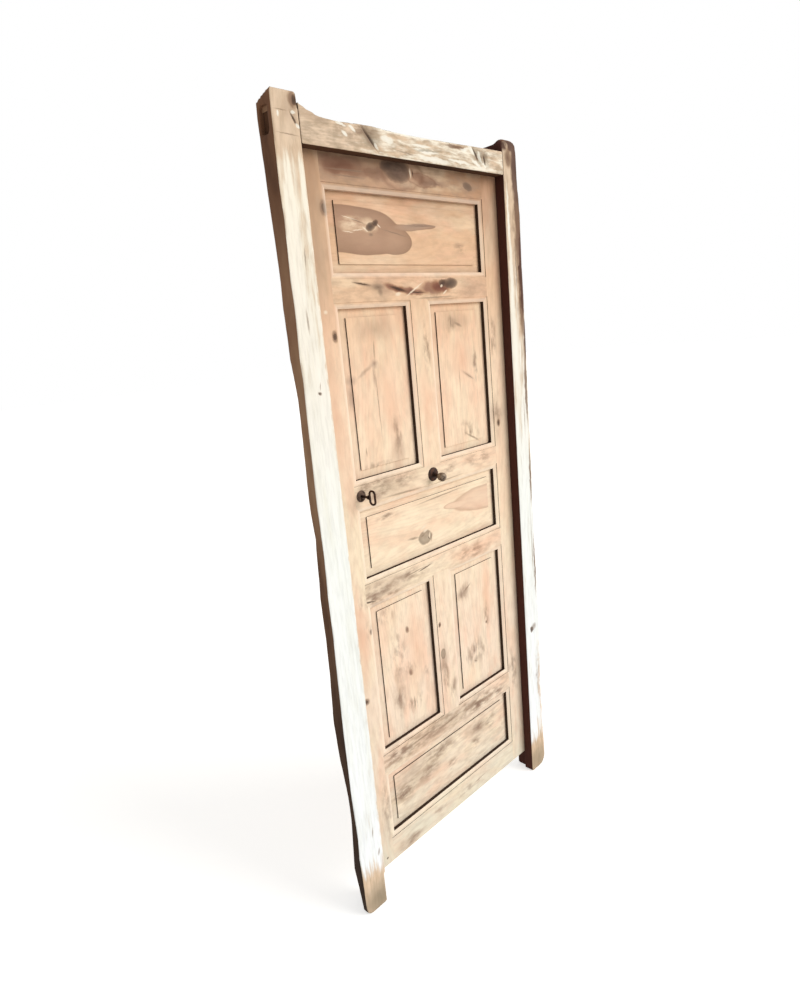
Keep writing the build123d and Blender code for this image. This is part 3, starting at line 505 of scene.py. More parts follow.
        (K.BARE, (432, 1650, 30, 260)),
        (K.LINE, (412, 1760, 7, 180)),
        (K.BROWN, (438, 1740, 22, 300), (442, 1540, 13, 150)),
        (K.BARE, (436, 1400, 18, 300)),
        (K.LINE, (420, 1300, 6, 160)),
        (K.BARE, (438, 1100, 12, 240)),
        (K.BURR, (408, 549, 20, 24)),
        (K.LINE, (420, 560, 30, 30, 30), (430, 860, 6, 300)),
        (K.BARE, (440, 780, 10, 260)),
        (K.SMUDGE, (430, 360, 30, 260)),
        (K.RUBBED, (438, 320, 30, 460)),
        (K.DAMP, (410, 30, 140, 150)),
    ),
}

# The share of ingrained dirt on the boards that are dirtier than the rest.
DIRT: dict[str, float] = {
    "top_rail": 0.55, "frieze_rail": 0.36, "lock_rail": 0.22, "middle_rail": 0.3, "lower_rail": 0.4,
    "bottom_rail": 0.2, "top_panel": 0.18, "bottom_panel": 0.3, "lower_left_panel": 0.2, "lower_muntin": 0.2,
    "left_post": 0.2, "head_rail": 0.5, "right_post": 0.3, "head_wedges": 0.9,
}
USUAL_DIRT = 0.16

# The ranges that a board's figure is picked from: where its pith lies aside and behind the face, its lean in
# degrees, the width of a ring and how far along the pattern starts.
PITH_ASIDE = (-30, 30)
PITH_BEHIND = (38, 70)
LEAN = (2.5, 5.0)
RING = (6.0, 9.0)
START = (0, 900)


@dataclass(frozen=True)
class Board:
    """A board's own figure: the way of its grain, where its pith lies and how it leans."""

    node: str
    grain: Grain
    pith_across: float
    pith_depth: float
    lean: float
    ring: float
    shift: float
    dirt: float

    @classmethod
    def cut_from(cls, node: str, grain: Grain) -> Board:
        """Picks a figure that is the same on each run for a board of a given name.

        Args:
            node: The board's name.
            grain: The way of its fibres.

        Returns:
            The board.
        """
        pick = random.Random(node)
        low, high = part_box(node)
        middle = [(a + b) / 2 / MM for a, b in zip(low, high)]
        across = middle[0] if grain is Grain.UPRIGHT else middle[2]
        return cls(
            node=node,
            grain=grain,
            pith_across=across + pick.uniform(*PITH_ASIDE),
            pith_depth=pick.uniform(*PITH_BEHIND),
            lean=pick.choice((-1, 1)) * pick.uniform(*LEAN),
            ring=pick.uniform(*RING),
            shift=pick.uniform(*START),
            dirt=DIRT.get(node, USUAL_DIRT),
        )


class Figure:
    """A board's new material and its figure: growth rings, fibres, mottle and slow clouds of tone.

    A noise has the width, depth and length of its grain, and finer layers. A step is its low and high end.
    Fibres are drawn much coarser than they are, as real ones are too fine to show.
    """

    sway_noise = ((90, 90, 420), 2.0)
    sway_reach = 40
    lean_across = 0.25
    fibre_noise = ((2.2, 2.2, 90), 3.0)
    fibre_reach = 0.7
    mottle_noise = ((17, 17, 44), 6.0)
    cloud_noise = ((70, 70, 210), 3.0)
    grit_step = (0.36, 0.68)
    pink_step = (0.42, 0.66)
    cream_step = (0.45, 0.66)
    year = ((0.0, "#1c1c1c"), (0.5, "#3a3a3a"), (0.82, "#ffffff"), (0.93, "#b0b0b0"), (1.0, "#1c1c1c"))

    def __init__(self, stuff: str, board: Board) -> None:
        """Starts the material and draws the figure.

        Args:
            stuff: What the wood is.
            board: The board, which has the material to itself.
        """
        self.board = board
        self.material = bpy.data.materials.new(f"{stuff}_{board.node}")
        self.tree = tree = blank(self.material)
        place = add(tree, "TexCoord").outputs
        self.mm = add(tree, "VectorMath", {0: place["Object"], "Scale": 1 / MM}, operation="SCALE")
        self.xyz = xyz = add(tree, "SeparateXYZ", {0: self.mm}).outputs
        self.facing = add(tree, "SeparateXYZ", {0: place["Normal"]}).outputs
        across, along = ("X", "Z") if board.grain is Grain.UPRIGHT else ("Z", "X")
        grain = add(tree, "CombineXYZ", {"X": xyz[across], "Y": xyz["Y"], "Z": xyz[along]})
        moved = add(tree, "VectorMath", {0: grain, 1: (0, 0, board.shift)}, operation="ADD")
        sway = drawn_noise(tree, moved, *self.sway_noise).outputs["Color"]
        sway = add(tree, "VectorMath", {0: sway, 1: NOISE_MIDDLE}, operation="SUBTRACT")
        reach = (self.sway_reach, self.sway_reach, 0)
        sway = add(tree, "VectorMath", {0: sway, 1: reach}, operation="MULTIPLY")
        bent = add(tree, "VectorMath", {0: grain, 1: sway}, operation="ADD")
        pith = (-board.pith_across, board.pith_depth, 0)
        lean = (math.radians(board.lean), math.radians(board.lean * self.lean_across), 0)
        log = add(tree, "Mapping", {0: bent, "Location": pith, "Rotation": lean})
        disc = add(tree, "VectorMath", {0: log, 1: (1, 1, 0)}, operation="MULTIPLY")
        radius = add(tree, "VectorMath", {0: disc}, operation="LENGTH")
        count = add(tree, "Math", {0: radius, 1: board.ring}, operation="DIVIDE")
        ragged = add(tree, "VectorMath", {0: bent, 1: (0, 0, board.shift)}, operation="ADD")
        self.fibres = drawn_noise(tree, ragged, *self.fibre_noise)
        count = add(tree, "Math", {0: self.fibres, 1: self.fibre_reach, 2: count}, operation="MULTIPLY_ADD")
        part = add(tree, "Math", {0: count}, operation="FRACT")
        self.rings = add(tree, "ValToRGB", {0: part}, self.year)
        self.cloud = drawn_noise(tree, moved, *self.cloud_noise)
        tints = add(tree, "SeparateColor", {0: self.cloud.outputs["Color"]}).outputs
        mottle = drawn_noise(tree, moved, *self.mottle_noise)
        steps = ((mottle, self.grit_step), (tints[1], self.pink_step), (tints[2], self.cream_step))
        self.grit, self.pink, self.cream = (
            add(tree, "MapRange", {0: value, 1: low, 2: high}, interpolation_type="SMOOTHSTEP")
            for value, (low, high) in steps
        )

    def layered(self, colour: Node, *layers: tuple[Node, Any, str]) -> Node:
        """Tints a colour in layers.

        Args:
            colour: The colour below.
            *layers: For each, where the tint lies, its share and its hex colour.

        Returns:
            The tinted colour.
        """
        for mask, share, code in layers:
            part = add(self.tree, "Math", {0: mask, 1: share}, operation="MULTIPLY")
            colour = add(self.tree, "Mix", {0: part, 6: colour, 7: linear(code)}, data_type="RGBA")
        return colour

    def marked(self, colour: Node) -> Node:
        """Lays the board's knots, stains and cracks over its colour.

        Args:
            colour: The colour to draw on.

        Returns:
            The colour with its marks.
        """
        tree, marks = self.tree, MARKS.get(self.board.node, ())
        used = {mark.kind.value.edge for mark in marks}
        rippled: dict[Edge, Node] = {}
        for edge in (edge for edge in Edge if edge in used):
            reach, grain, detail = edge.value
            ripple = add(tree, "TexNoise", {"Vector": self.mm, "Scale": 1 / grain, "Detail": detail})
            offset = ripple.outputs["Color"]
            offset = add(tree, "VectorMath", {0: offset, 1: NOISE_MIDDLE}, operation="SUBTRACT")
            offset = add(tree, "VectorMath", {0: offset, 1: (reach * 2, 0, reach * 2)}, operation="MULTIPLY")
            rippled[edge] = add(tree, "VectorMath", {0: self.mm, 1: offset}, operation="ADD")
        for mark in marks:
            stain = mark.kind.value
            spread: Node | None = None
            for x, z, width, height, turn in mark.ovals():
                inputs = {
                    0: rippled[stain.edge],
                    "Location": (x, mark.face, z),
                    "Rotation": (0, math.radians(-turn), 0),
                    "Scale": (width / 2, mark.depth / 2, height / 2),
                }
                local = add(tree, "Mapping", inputs, vector_type="TEXTURE")
                oval = add(tree, "VectorMath", {0: local}, operation="LENGTH")
                if spread is None:
                    spread = oval
                else:
                    spread = add(tree, "Math", {0: spread, 1: oval, 2: LOBE_BLEND}, operation="SMOOTH_MIN")
            ramp = add(tree, "ValToRGB", {0: spread}, stain.stops)
            cover = ramp.outputs["Alpha"]
            if stain.gritty:
                cover = add(tree, "Math", {0: cover, 1: self.grit}, operation="MULTIPLY")
            colour = add(tree, "Mix", {0: cover, 6: colour, 7: ramp}, data_type="RGBA")
        return colour


def surfaced(
    material: Material, height: Node, share: float, depth: float, inputs: dict[str, Any]
) -> Material:
    """Gives a material its shader, with fine relief.

    Args:
        material: The material, with its colours drawn.
        height: The relief.
        share: How much of it shows.
        depth: Its depth.
        inputs: The shader's colour, roughness and other inputs.

    Returns:
        The material.
    """
    tree = material.node_tree
    bump = add(tree, "Bump", {"Strength": share, "Distance": depth * MM, "Height": height})
    shader = add(tree, "BsdfPrincipled", {**inputs, "Normal": bump})
    add(tree, "OutputMaterial", {"Surface": shader})
    return material


@dataclass(frozen=True)
class BarePine:
    """Bare scrubbed pine, planed by hand and long dried: matt, softly figured, grimed and darkened with
    painted shade in its recesses.

    Early wood is pale and late wood browner, so the eye reads faint arches and streaks. The foot is
    bleached, and the tone darkens towards the top: partly the wood's own brown, partly painted shade
    where the light falls off under the head. Rings are drawn about twice their real width, as the true
    one is finer than a pixel from this far away. A facing is a pair of values of the face's normal
    between which a tint comes or goes.
    """

    # The tones by height: the darker browns near the top are partly painted shade under the head.
    tones: Stops = (
        (0.03, "#e3dcc7"), (0.12, "#eedcc4"), (0.3, "#f6dfc7"), (0.5, "#fbe5c6"), (0.7, "#f9dbbc"),
        (0.82, "#eac4a0"), (0.91, "#e3b993"), (0.985, "#a27858"),
    )
    top: float = 2050.0
    cloud_sway: float = 0.12
    late_wood: str = "#b98a5f"
    late_share: float = 0.11
    pink: str = "#f2be9e"
    pink_share: float = 0.4
    foot_pink: float = 0.1
    foot_fade: Pair = (0.03, 0.1)
    cream: str = "#f6e6c4"
    cream_share: float = 0.3
    dirt: str = "#967a64"
    fibre_step: Pair = (0.3, 0.7)
    fibre_tone: Pair = (0.965, 1.025)
    # The pale colour on slightly tilted faces of the mouldings is partly wear and partly a painted highlight
    # where light catches them.
    worn: str = "#f8e6d2"
    worn_and_highlight_share: float = 0.34
    worn_and_highlight_facing: Pair = (0.998, 0.97)
    # The dark colour on steep faces is partly dirt and partly painted shade in the panel gaps, recess walls
    # and the fields' steps.
    grime_and_shade: str = "#29130a"
    grime_and_shade_share: float = 0.96
    grime_and_shade_facing: Pair = (0.45, 0.86)
    grime_and_shade_sheen: float = 0.02
    under_share: float = 0.05
    under_facing: Pair = (-0.2, -0.7)
    edge_grime_and_shade: float = 0.3
    half_width: float = 376.0
    foot: float = 78.0
    head: float = 2024.0
    roughness: float = 0.82
    roughness_swing: float = 0.1
    sheen: float = 0.3
    ring_relief: float = 0.4
    relief_share: float = 0.3
    relief_depth: float = 0.5

    def material(self, board: Board) -> Material:
        """Makes the wood of one board.

        Args:
            board: The board's figure.

        Returns:
            A material of the board's own name.
        """
        figure = Figure("bare_pine", board)
        tree, fibres = figure.tree, figure.fibres
        wood = self.wood(figure)
        front = add(tree, "Math", {0: figure.facing["Y"], 1: 0.0}, operation="LESS_THAN")
        colour = add(tree, "Mix", {0: front, 6: wood, 7: figure.marked(wood)}, data_type="RGBA")
        flat = add(tree, "Math", {0: figure.facing["Y"]}, operation="ABSOLUTE")
        # Tilted moulding faces turn paler: wear together with a painted highlight.
        low, high = self.worn_and_highlight_facing
        slope = add(tree, "MapRange", {0: flat, 1: low, 2: high})
        colour = figure.layered(colour, (slope, self.worn_and_highlight_share, self.worn))
        # Steep faces darken towards the dark colour: dirt and painted shade in the recesses.
        recess = self.recess(figure, flat)
        colour = add(tree, "Mix", {0: recess, 6: colour, 7: linear(self.grime_and_shade)}, data_type="RGBA")
        sheen = add(tree, "MapRange", {0: recess, 3: self.sheen, 4: self.grime_and_shade_sheen})
        low, high = self.roughness - self.roughness_swing, self.roughness + self.roughness_swing
        rough = add(tree, "MapRange", {0: fibres, 3: low, 4: high})
        inputs = {0: figure.rings, 1: self.ring_relief, 2: fibres}
        relief = add(tree, "Math", inputs, operation="MULTIPLY_ADD")
        inputs = {"Base Color": colour, "Roughness": rough, "Specular IOR Level": sheen}
        return surfaced(figure.material, relief, self.relief_share, self.relief_depth, inputs)

    def recess(self, figure: Figure, flat: Node) -> Node:
        """Adds the share of grime and painted shade: most on steep faces, little under an edge or on the
        leaf's outer edges.

        Args:
            figure: The board's figure.
            flat: How far a face looks straight to the front or the back.

        Returns:
            The share, from 0 to 1.
        """
        tree, xyz = figure.tree, figure.xyz
        low, high = self.grime_and_shade_facing
        inputs = {0: flat, 1: low, 2: high, 3: self.grime_and_shade_share, 4: 0.0}
        grime_and_shade = add(tree, "MapRange", inputs, interpolation_type="SMOOTHSTEP")
        low, high = self.under_facing
        under = add(tree, "MapRange", {0: figure.facing["Z"], 1: low, 2: high, 3: 1.0, 4: self.under_share})
        off = add(tree, "Math", {0: xyz["X"]}, operation="ABSOLUTE")
        within = add(tree, "Math", {0: off, 1: self.half_width}, operation="LESS_THAN")
        for limit, side in ((self.foot, "GREATER_THAN"), (self.head, "LESS_THAN")):
            part = add(tree, "Math", {0: xyz["Z"], 1: limit}, operation=side)
            within = add(tree, "Math", {0: within, 1: part}, operation="MULTIPLY")
        inside = add(tree, "MapRange", {0: within, 3: self.edge_grime_and_shade, 4: 1.0})
        for share in (under, inside):
            grime_and_shade = add(tree, "Math", {0: grime_and_shade, 1: share}, operation="MULTIPLY")
        return grime_and_shade

    def wood(self, figure: Figure) -> Node:
        """Mixes the clean wood's colour: its tone by height, darker at the top partly as painted shade,
        clouds, rings, fibres and ingrained dirt.

        Args:
            figure: The board's figure.

        Returns:
            The colour before any mark.
        """
        tree = figure.tree
        height = add(tree, "Math", {0: figure.xyz["Z"], 1: self.top}, operation="DIVIDE")
        lift = add(tree, "Math", {0: figure.cloud, 1: self.cloud_sway, 2: height}, operation="MULTIPLY_ADD")
        lift = add(tree, "Math", {0: lift, 1: self.cloud_sway / 2}, operation="SUBTRACT", use_clamp=True)
        colour = add(tree, "ValToRGB", {0: lift}, self.tones)
        low, high = self.foot_fade
        blush = add(tree, "MapRange", {0: height, 1: low, 2: high, 3: self.foot_pink, 4: self.pink_share})
        colour = figure.layered(
            colour,
            (figure.pink, blush, self.pink),
            (figure.cream, self.cream_share, self.cream),
            (figure.rings, self.late_share, self.late_wood),
            (figure.grit, figure.board.dirt, self.dirt),
        )
        (low, high), (dull, bright) = self.fibre_step, self.fibre_tone
        streak = add(tree, "MapRange", {0: figure.fibres, 1: low, 2: high, 3: dull, 4: bright})
        return add(tree, "VectorMath", {0: colour, "Scale": streak}, operation="SCALE")


@dataclass(frozen=True)
class Wash:
    """How the limewash lies on one timber.

    Its cover along the timber, from start to end, is written as greys. Fine and broad brush strokes have
    a width and a length. The reveal beside the leaf has a dark tone up to a height, partly its own wood and
    partly painted shade of the narrow gap there, and the side tone darkens the hidden sides by their height.
    """

    cover: Stops
    start: float = 0.0
    end: float = POST_HEIGHT
    fine: Pair = (7.0, 60.0)
    broad: Pair = (24.0, 240.0)
    # The reveal colour is partly the dark wood and partly painted shade of the narrow gap beside the leaf.
    reveal: str = "#4a2a20"
    reveal_top: float = 2200.0
    # Darker low down and a little darker near the top; white leaves the sides as they are.
    side_tone: Stops = (
        (0.0, "#5a5653"), (0.28, "#7c7370"), (0.48, "#cdc4c0"), (0.62, "#ffffff"), (0.8, "#f0e8e4"),
        (0.92, "#b8a8a0"), (1.0, "#d8c8c0"),
    )


@dataclass(frozen=True)
class LimedPine:
    """Rough hewn pine under worn limewash: chalky white where it holds, beige and brown where bare.

    The wash lies on the face only. The outer sides were bedded in a wall and are dark and dirty.
    """

    wood: Stops = ((0.0, "#c9ac8d"), (0.45, "#dcc1a3"), (0.7, "#e4cbb0"), (1.0, "#bb9c7b"))
    fibre_share: float = 0.5
    late_wood: str = "#94724f"
    late_share: float = 0.18
    dirt: str = "#7c6a52"
    lime: Stops = ((0.3, "#eef0ec"), (0.5, "#f5f8f8"), (0.7, "#f9fbfc"))
    aged: Stops = ((0.1, "#ffffff"), (0.5, "#fffdf6"), (0.72, "#fff5e6"), (0.95, "#fff2dd"))
    fine_detail: float = 6.0
    fine_hold: float = 0.6
    broad_detail: float = 3.0
    broad_hold: float = 0.95
    hold_step: Pair = (1.12, 1.46)
    stroke_step: Pair = (0.36, 0.56)
    stroke_tone: Pair = (0.9, 1.0)
    stroke_roughness: float = 0.62
    dark: Stops = ((0.3, "#6f4f3a"), (0.5, "#9a765a"), (0.75, "#b08d6e"))
    reveal_step: Pair = (-100.0, -250.0)
    side_facing: Pair = (-0.82, -0.5)
    face_back: float = -24.0
    back_fade: float = 6.0
    roughness: Pair = (0.76, 0.98)
    sheen: float = 0.25
    stroke_relief: float = 1.4
    relief_share: float = 0.4
    relief_depth: float = 0.8

    def material(self, board: Board, wash: Wash) -> Material:
        """Makes the limed wood of one timber.

        Args:
            board: The timber's figure.
            wash: How its limewash lies.

        Returns:
            A material of the timber's own name.
        """
        figure = Figure("limed_pine", board)
        tree, xyz = figure.tree, figure.xyz
        worn = self.brushed(figure, wash.fine, self.fine_detail)
        climb = add(tree, "MapRange", {0: xyz["Z"], 2: POST_HEIGHT})
        face = figure.marked(self.limed(figure, wash, worn, climb))
        shade = self.hidden(figure, wash, climb)
        low, high = self.side_facing
        inputs = {0: figure.facing["Y"], 1: low, 2: high}
        side = add(tree, "MapRange", inputs, interpolation_type="SMOOTHSTEP")
        deep = add(tree, "MapRange", {0: xyz["Y"], 1: self.face_back, 2: self.face_back + self.back_fade})
        side = add(tree, "Math", {0: side, 1: deep}, operation="MAXIMUM")
        colour = add(tree, "Mix", {0: side, 6: face, 7: shade}, data_type="RGBA")
        inputs = {0: worn, 1: self.stroke_relief, 2: figure.fibres}
        relief = add(tree, "Math", inputs, operation="MULTIPLY_ADD")
        rough = add(tree, "MapRange", {0: worn, 3: self.roughness[0], 4: self.roughness[1]})
        inputs = {"Base Color": colour, "Roughness": rough, "Specular IOR Level": self.sheen}
        return surfaced(figure.material, relief, self.relief_share, self.relief_depth, inputs)

    def limed(self, figure: Figure, wash: Wash, worn: Node, climb: Node) -> Node:
        """Mixes the face's colour: limewash where the brush left enough of it, wood between.

        Args:
            figure: The timber's figure.
            wash: How its limewash lies.
            worn: The fine brush strokes.
            climb: The height, from 0 to 1.

        Returns:
            The face's colour before any mark.
        """
        tree = figure.tree
        broad = self.brushed(figure, wash.broad, self.broad_detail)
        along = figure.xyz["Z" if figure.board.grain is Grain.UPRIGHT else "X"]
        run = add(tree, "MapRange", {0: along, 1: wash.start, 2: wash.end})
        hold = add(tree, "ValToRGB", {0: run}, wash.cover)
        for strokes, share in ((worn, self.fine_hold), (broad, self.broad_hold)):
            hold = add(tree, "Math", {0: strokes, 1: share, 2: hold}, operation="MULTIPLY_ADD")
        low, high = self.hold_step
        lime = add(tree, "MapRange", {0: hold, 1: low, 2: high}, interpolation_type="SMOOTHSTEP")
        chalk = add(tree, "ValToRGB", {0: broad}, self.lime)
        (low, high), (dull, bright) = self.stroke_step, self.stroke_tone
        stroke = add(tree, "MapRange", {0: worn, 1: low, 2: high, 3: dull, 4: bright})
        chalk = add(tree, "VectorMath", {0: chalk, "Scale": stroke}, operation="SCALE")
        aged = add(tree, "ValToRGB", {0: climb}, self.aged)
        chalk = add(tree, "VectorMath", {0: chalk, 1: aged}, operation="MULTIPLY")
        return add(tree, "Mix", {0: lime, 6: self.bare(figure), 7: chalk}, data_type="RGBA")

    def hidden(self, figure: Figure, wash: Wash, climb: Node) -> Node:
        """Mixes the colour of the sides: dirty wood darkened by height as the wash's side tone gives, and the
        reveal beside the leaf.

        Args:
            figure: The timber's figure.
            wash: The reveal's tone and the side tone.
            climb: The height, from 0 to 1.

        Returns:
            The sides' colour.
        """
        tree, xyz = figure.tree, figure.xyz
        shade = add(tree, "ValToRGB", {0: figure.cloud}, self.dark)
        side_tone = add(tree, "ValToRGB", {0: climb}, wash.side_tone)
        shade = add(tree, "Mix", {0: 1.0, 6: shade, 7: side_tone}, data_type="RGBA", blend_type="MULTIPLY")
        inward = add(tree, "Math", {0: figure.facing["X"], 1: xyz["X"]}, operation="MULTIPLY")
        low, high = self.reveal_step
        inward = add(tree, "MapRange", {0: inward, 1: low, 2: high})
        beside = add(tree, "Math", {0: xyz["Z"], 1: wash.reveal_top}, operation="LESS_THAN")
        return figure.layered(shade, (inward, beside, wash.reveal))

    def brushed(self, figure: Figure, stroke: Pair, detail: float) -> Node:
        """Adds noise with the brush's strokes along the timber.

        Args:
            figure: The timber's figure.
            stroke: The width and the length of a stroke.
            detail: How many finer layers it has.

        Returns:
            The noise, from 0 to 1.
        """
        across, along = stroke
        upright = figure.board.grain is Grain.UPRIGHT
        cell = (across, across, along) if upright else (along, across, across)
        return drawn_noise(figure.tree, figure.mm, cell, detail, self.stroke_roughness, figure.board.shift)

    def bare(self, figure: Figure) -> Node:
        """Mixes the colour of the wood under the wash.

        Args:
            figure: The timber's figure.

        Returns:
            The bare wood's colour.
        """
        tree = figure.tree
        inputs = {0: figure.fibres, 1: self.fibre_share, 2: figure.cloud}
        tone = add(tree, "Math", inputs, operation="MULTIPLY_ADD")
        tone = add(tree, "Math", {0: tone, 1: self.fibre_share / 2}, operation="SUBTRACT", use_clamp=True)
        colour = add(tree, "ValToRGB", {0: tone}, self.wood)
        late = (figure.rings, self.late_share, self.late_wood)
        return figure.layered(colour, late, (figure.grit, figure.board.dirt, self.dirt))


@dataclass(frozen=True)
class AgedMetal:
    """Old iron or brass that has dulled: a dark skin, brown bloom in patches and a faintly pitted face.

    Pits are drawn coarser than they are, as real ones are too fine to show.
    """

    name: str
    skin: str
    bloom: str
    metallic: float
    roughness: float
    patch: float = 9.0
    patch_detail: float = 4.0
    patch_roughness: float = 0.6
    patch_step: Pair = (0.42, 0.66)
    smoother: float = 0.15
    rougher: float = 0.2
    pit: float = 2.4
    pit_detail: float = 2.0
    pit_share: float = 0.25
    pit_depth: float = 0.2

    def material(self) -> Material:
        """Makes the metal once for every fitting that has it.

        Returns:
            A material of the metal's own name.
        """
        material = bpy.data.materials.new(self.name)
        tree = blank(material)
        place = add(tree, "TexCoord").outputs["Object"]
        mm = add(tree, "VectorMath", {0: place, "Scale": 1 / MM}, operation="SCALE")
        inputs = {"Scale": 1 / self.patch, "Detail": self.patch_detail, "Roughness": self.patch_roughness}
        patch = add(tree, "TexNoise", {"Vector": mm, **inputs})
        pits = add(tree, "TexNoise", {"Vector": mm, "Scale": 1 / self.pit, "Detail": self.pit_detail})
        low, high = self.patch_step
        share = add(tree, "MapRange", {0: patch, 1: low, 2: high}, interpolation_type="SMOOTHSTEP")
        colour = add(tree, "Mix", {0: share, 6: linear(self.skin), 7: linear(self.bloom)}, data_type="RGBA")
        low, high = self.roughness - self.smoother, self.roughness + self.rougher
        rough = add(tree, "MapRange", {0: patch, 3: low, 4: high})
        inputs = {"Base Color": colour, "Metallic": self.metallic, "Roughness": rough}
        return surfaced(material, pits, self.pit_share, self.pit_depth, inputs)


def dress(piece: bpy.types.Object, material: Material) -> None:
    """Gives a piece one material all over.

    Args:
        piece: The piece.
        material: Its material.
    """
    slots = piece.data.materials
    if len(slots) == 0:
        slots.append(material)
    for place in range(len(slots)):
        slots[place] = material


def soften(piece: bpy.types.Object, width: float, least_angle: float = 35.0) -> None:
    """Rounds a piece's edges a little, as handling does.

    Args:
        piece: The piece.
        width: The rounding's width.
        least_angle: The smallest angle, in degrees, of an edge that is rounded.
    """
    bevel = piece.modifiers.new("worn_arris", "BEVEL")
    bevel.width = width * MM
    bevel.segments = 2
    bevel.limit_method = "ANGLE"
    bevel.angle_limit = math.radians(least_angle)


@dataclass
class Leaf:
    """The door leaf: stiles, rails, muntins, fielded panels and the wedges of their joints."""

    frame: dict[str, Any]
    finish: BarePine
    arris: float = 0.7
    upright: tuple[str, ...] = (
        "lock_stile", "hinge_stile", "lower_muntin", "upper_muntin", "lower_left_panel", "lower_right_panel",
        "upper_left_panel", "upper_right_panel",
    )
    level: tuple[str, ...] = (
        "bottom_rail", "lower_rail", "middle_rail", "lock_rail", "frieze_rail", "top_rail", "bottom_panel",
        "middle_panel", "top_panel", "tenon_wedges",
    )

    def build(self) -> None:
        """Softens the arrises of every board and gives each its own figure."""
        for grain, names in ((Grain.UPRIGHT, self.upright), (Grain.LEVEL, self.level)):
            for name in names:
                piece = self.frame["nodes"][name]
                dress(piece, self.finish.material(Board.cut_from(name, grain)))
                soften(piece, self.arris)
                LOG.info("leaf board %s", name)


@dataclass(frozen=True)
class Gouge:
    """A groove in a timber's face, between two points across and up, with a half-width and a depth."""

    start: Pair
    end: Pair
    reach: float
    depth: float

    def sink(self, x: float, z: float) -> float:
        """Finds how deep the groove is.

        Args:
            x: The place across.
            z: The height.

        Returns:
            The depth there.
        """
        along = (self.end[0] - self.start[0], self.end[1] - self.start[1])
        share = (x - self.start[0]) * along[0] + (z - self.start[1]) * along[1]
        share = min(1.0, max(0.0, share / (along[0] ** 2 + along[1] ** 2)))
        off = math.hypot(x - self.start[0] - share * along[0], z - self.start[1] - share * along[1])
        return self.depth * max(0.0, 1 - (off / self.reach) ** 2)


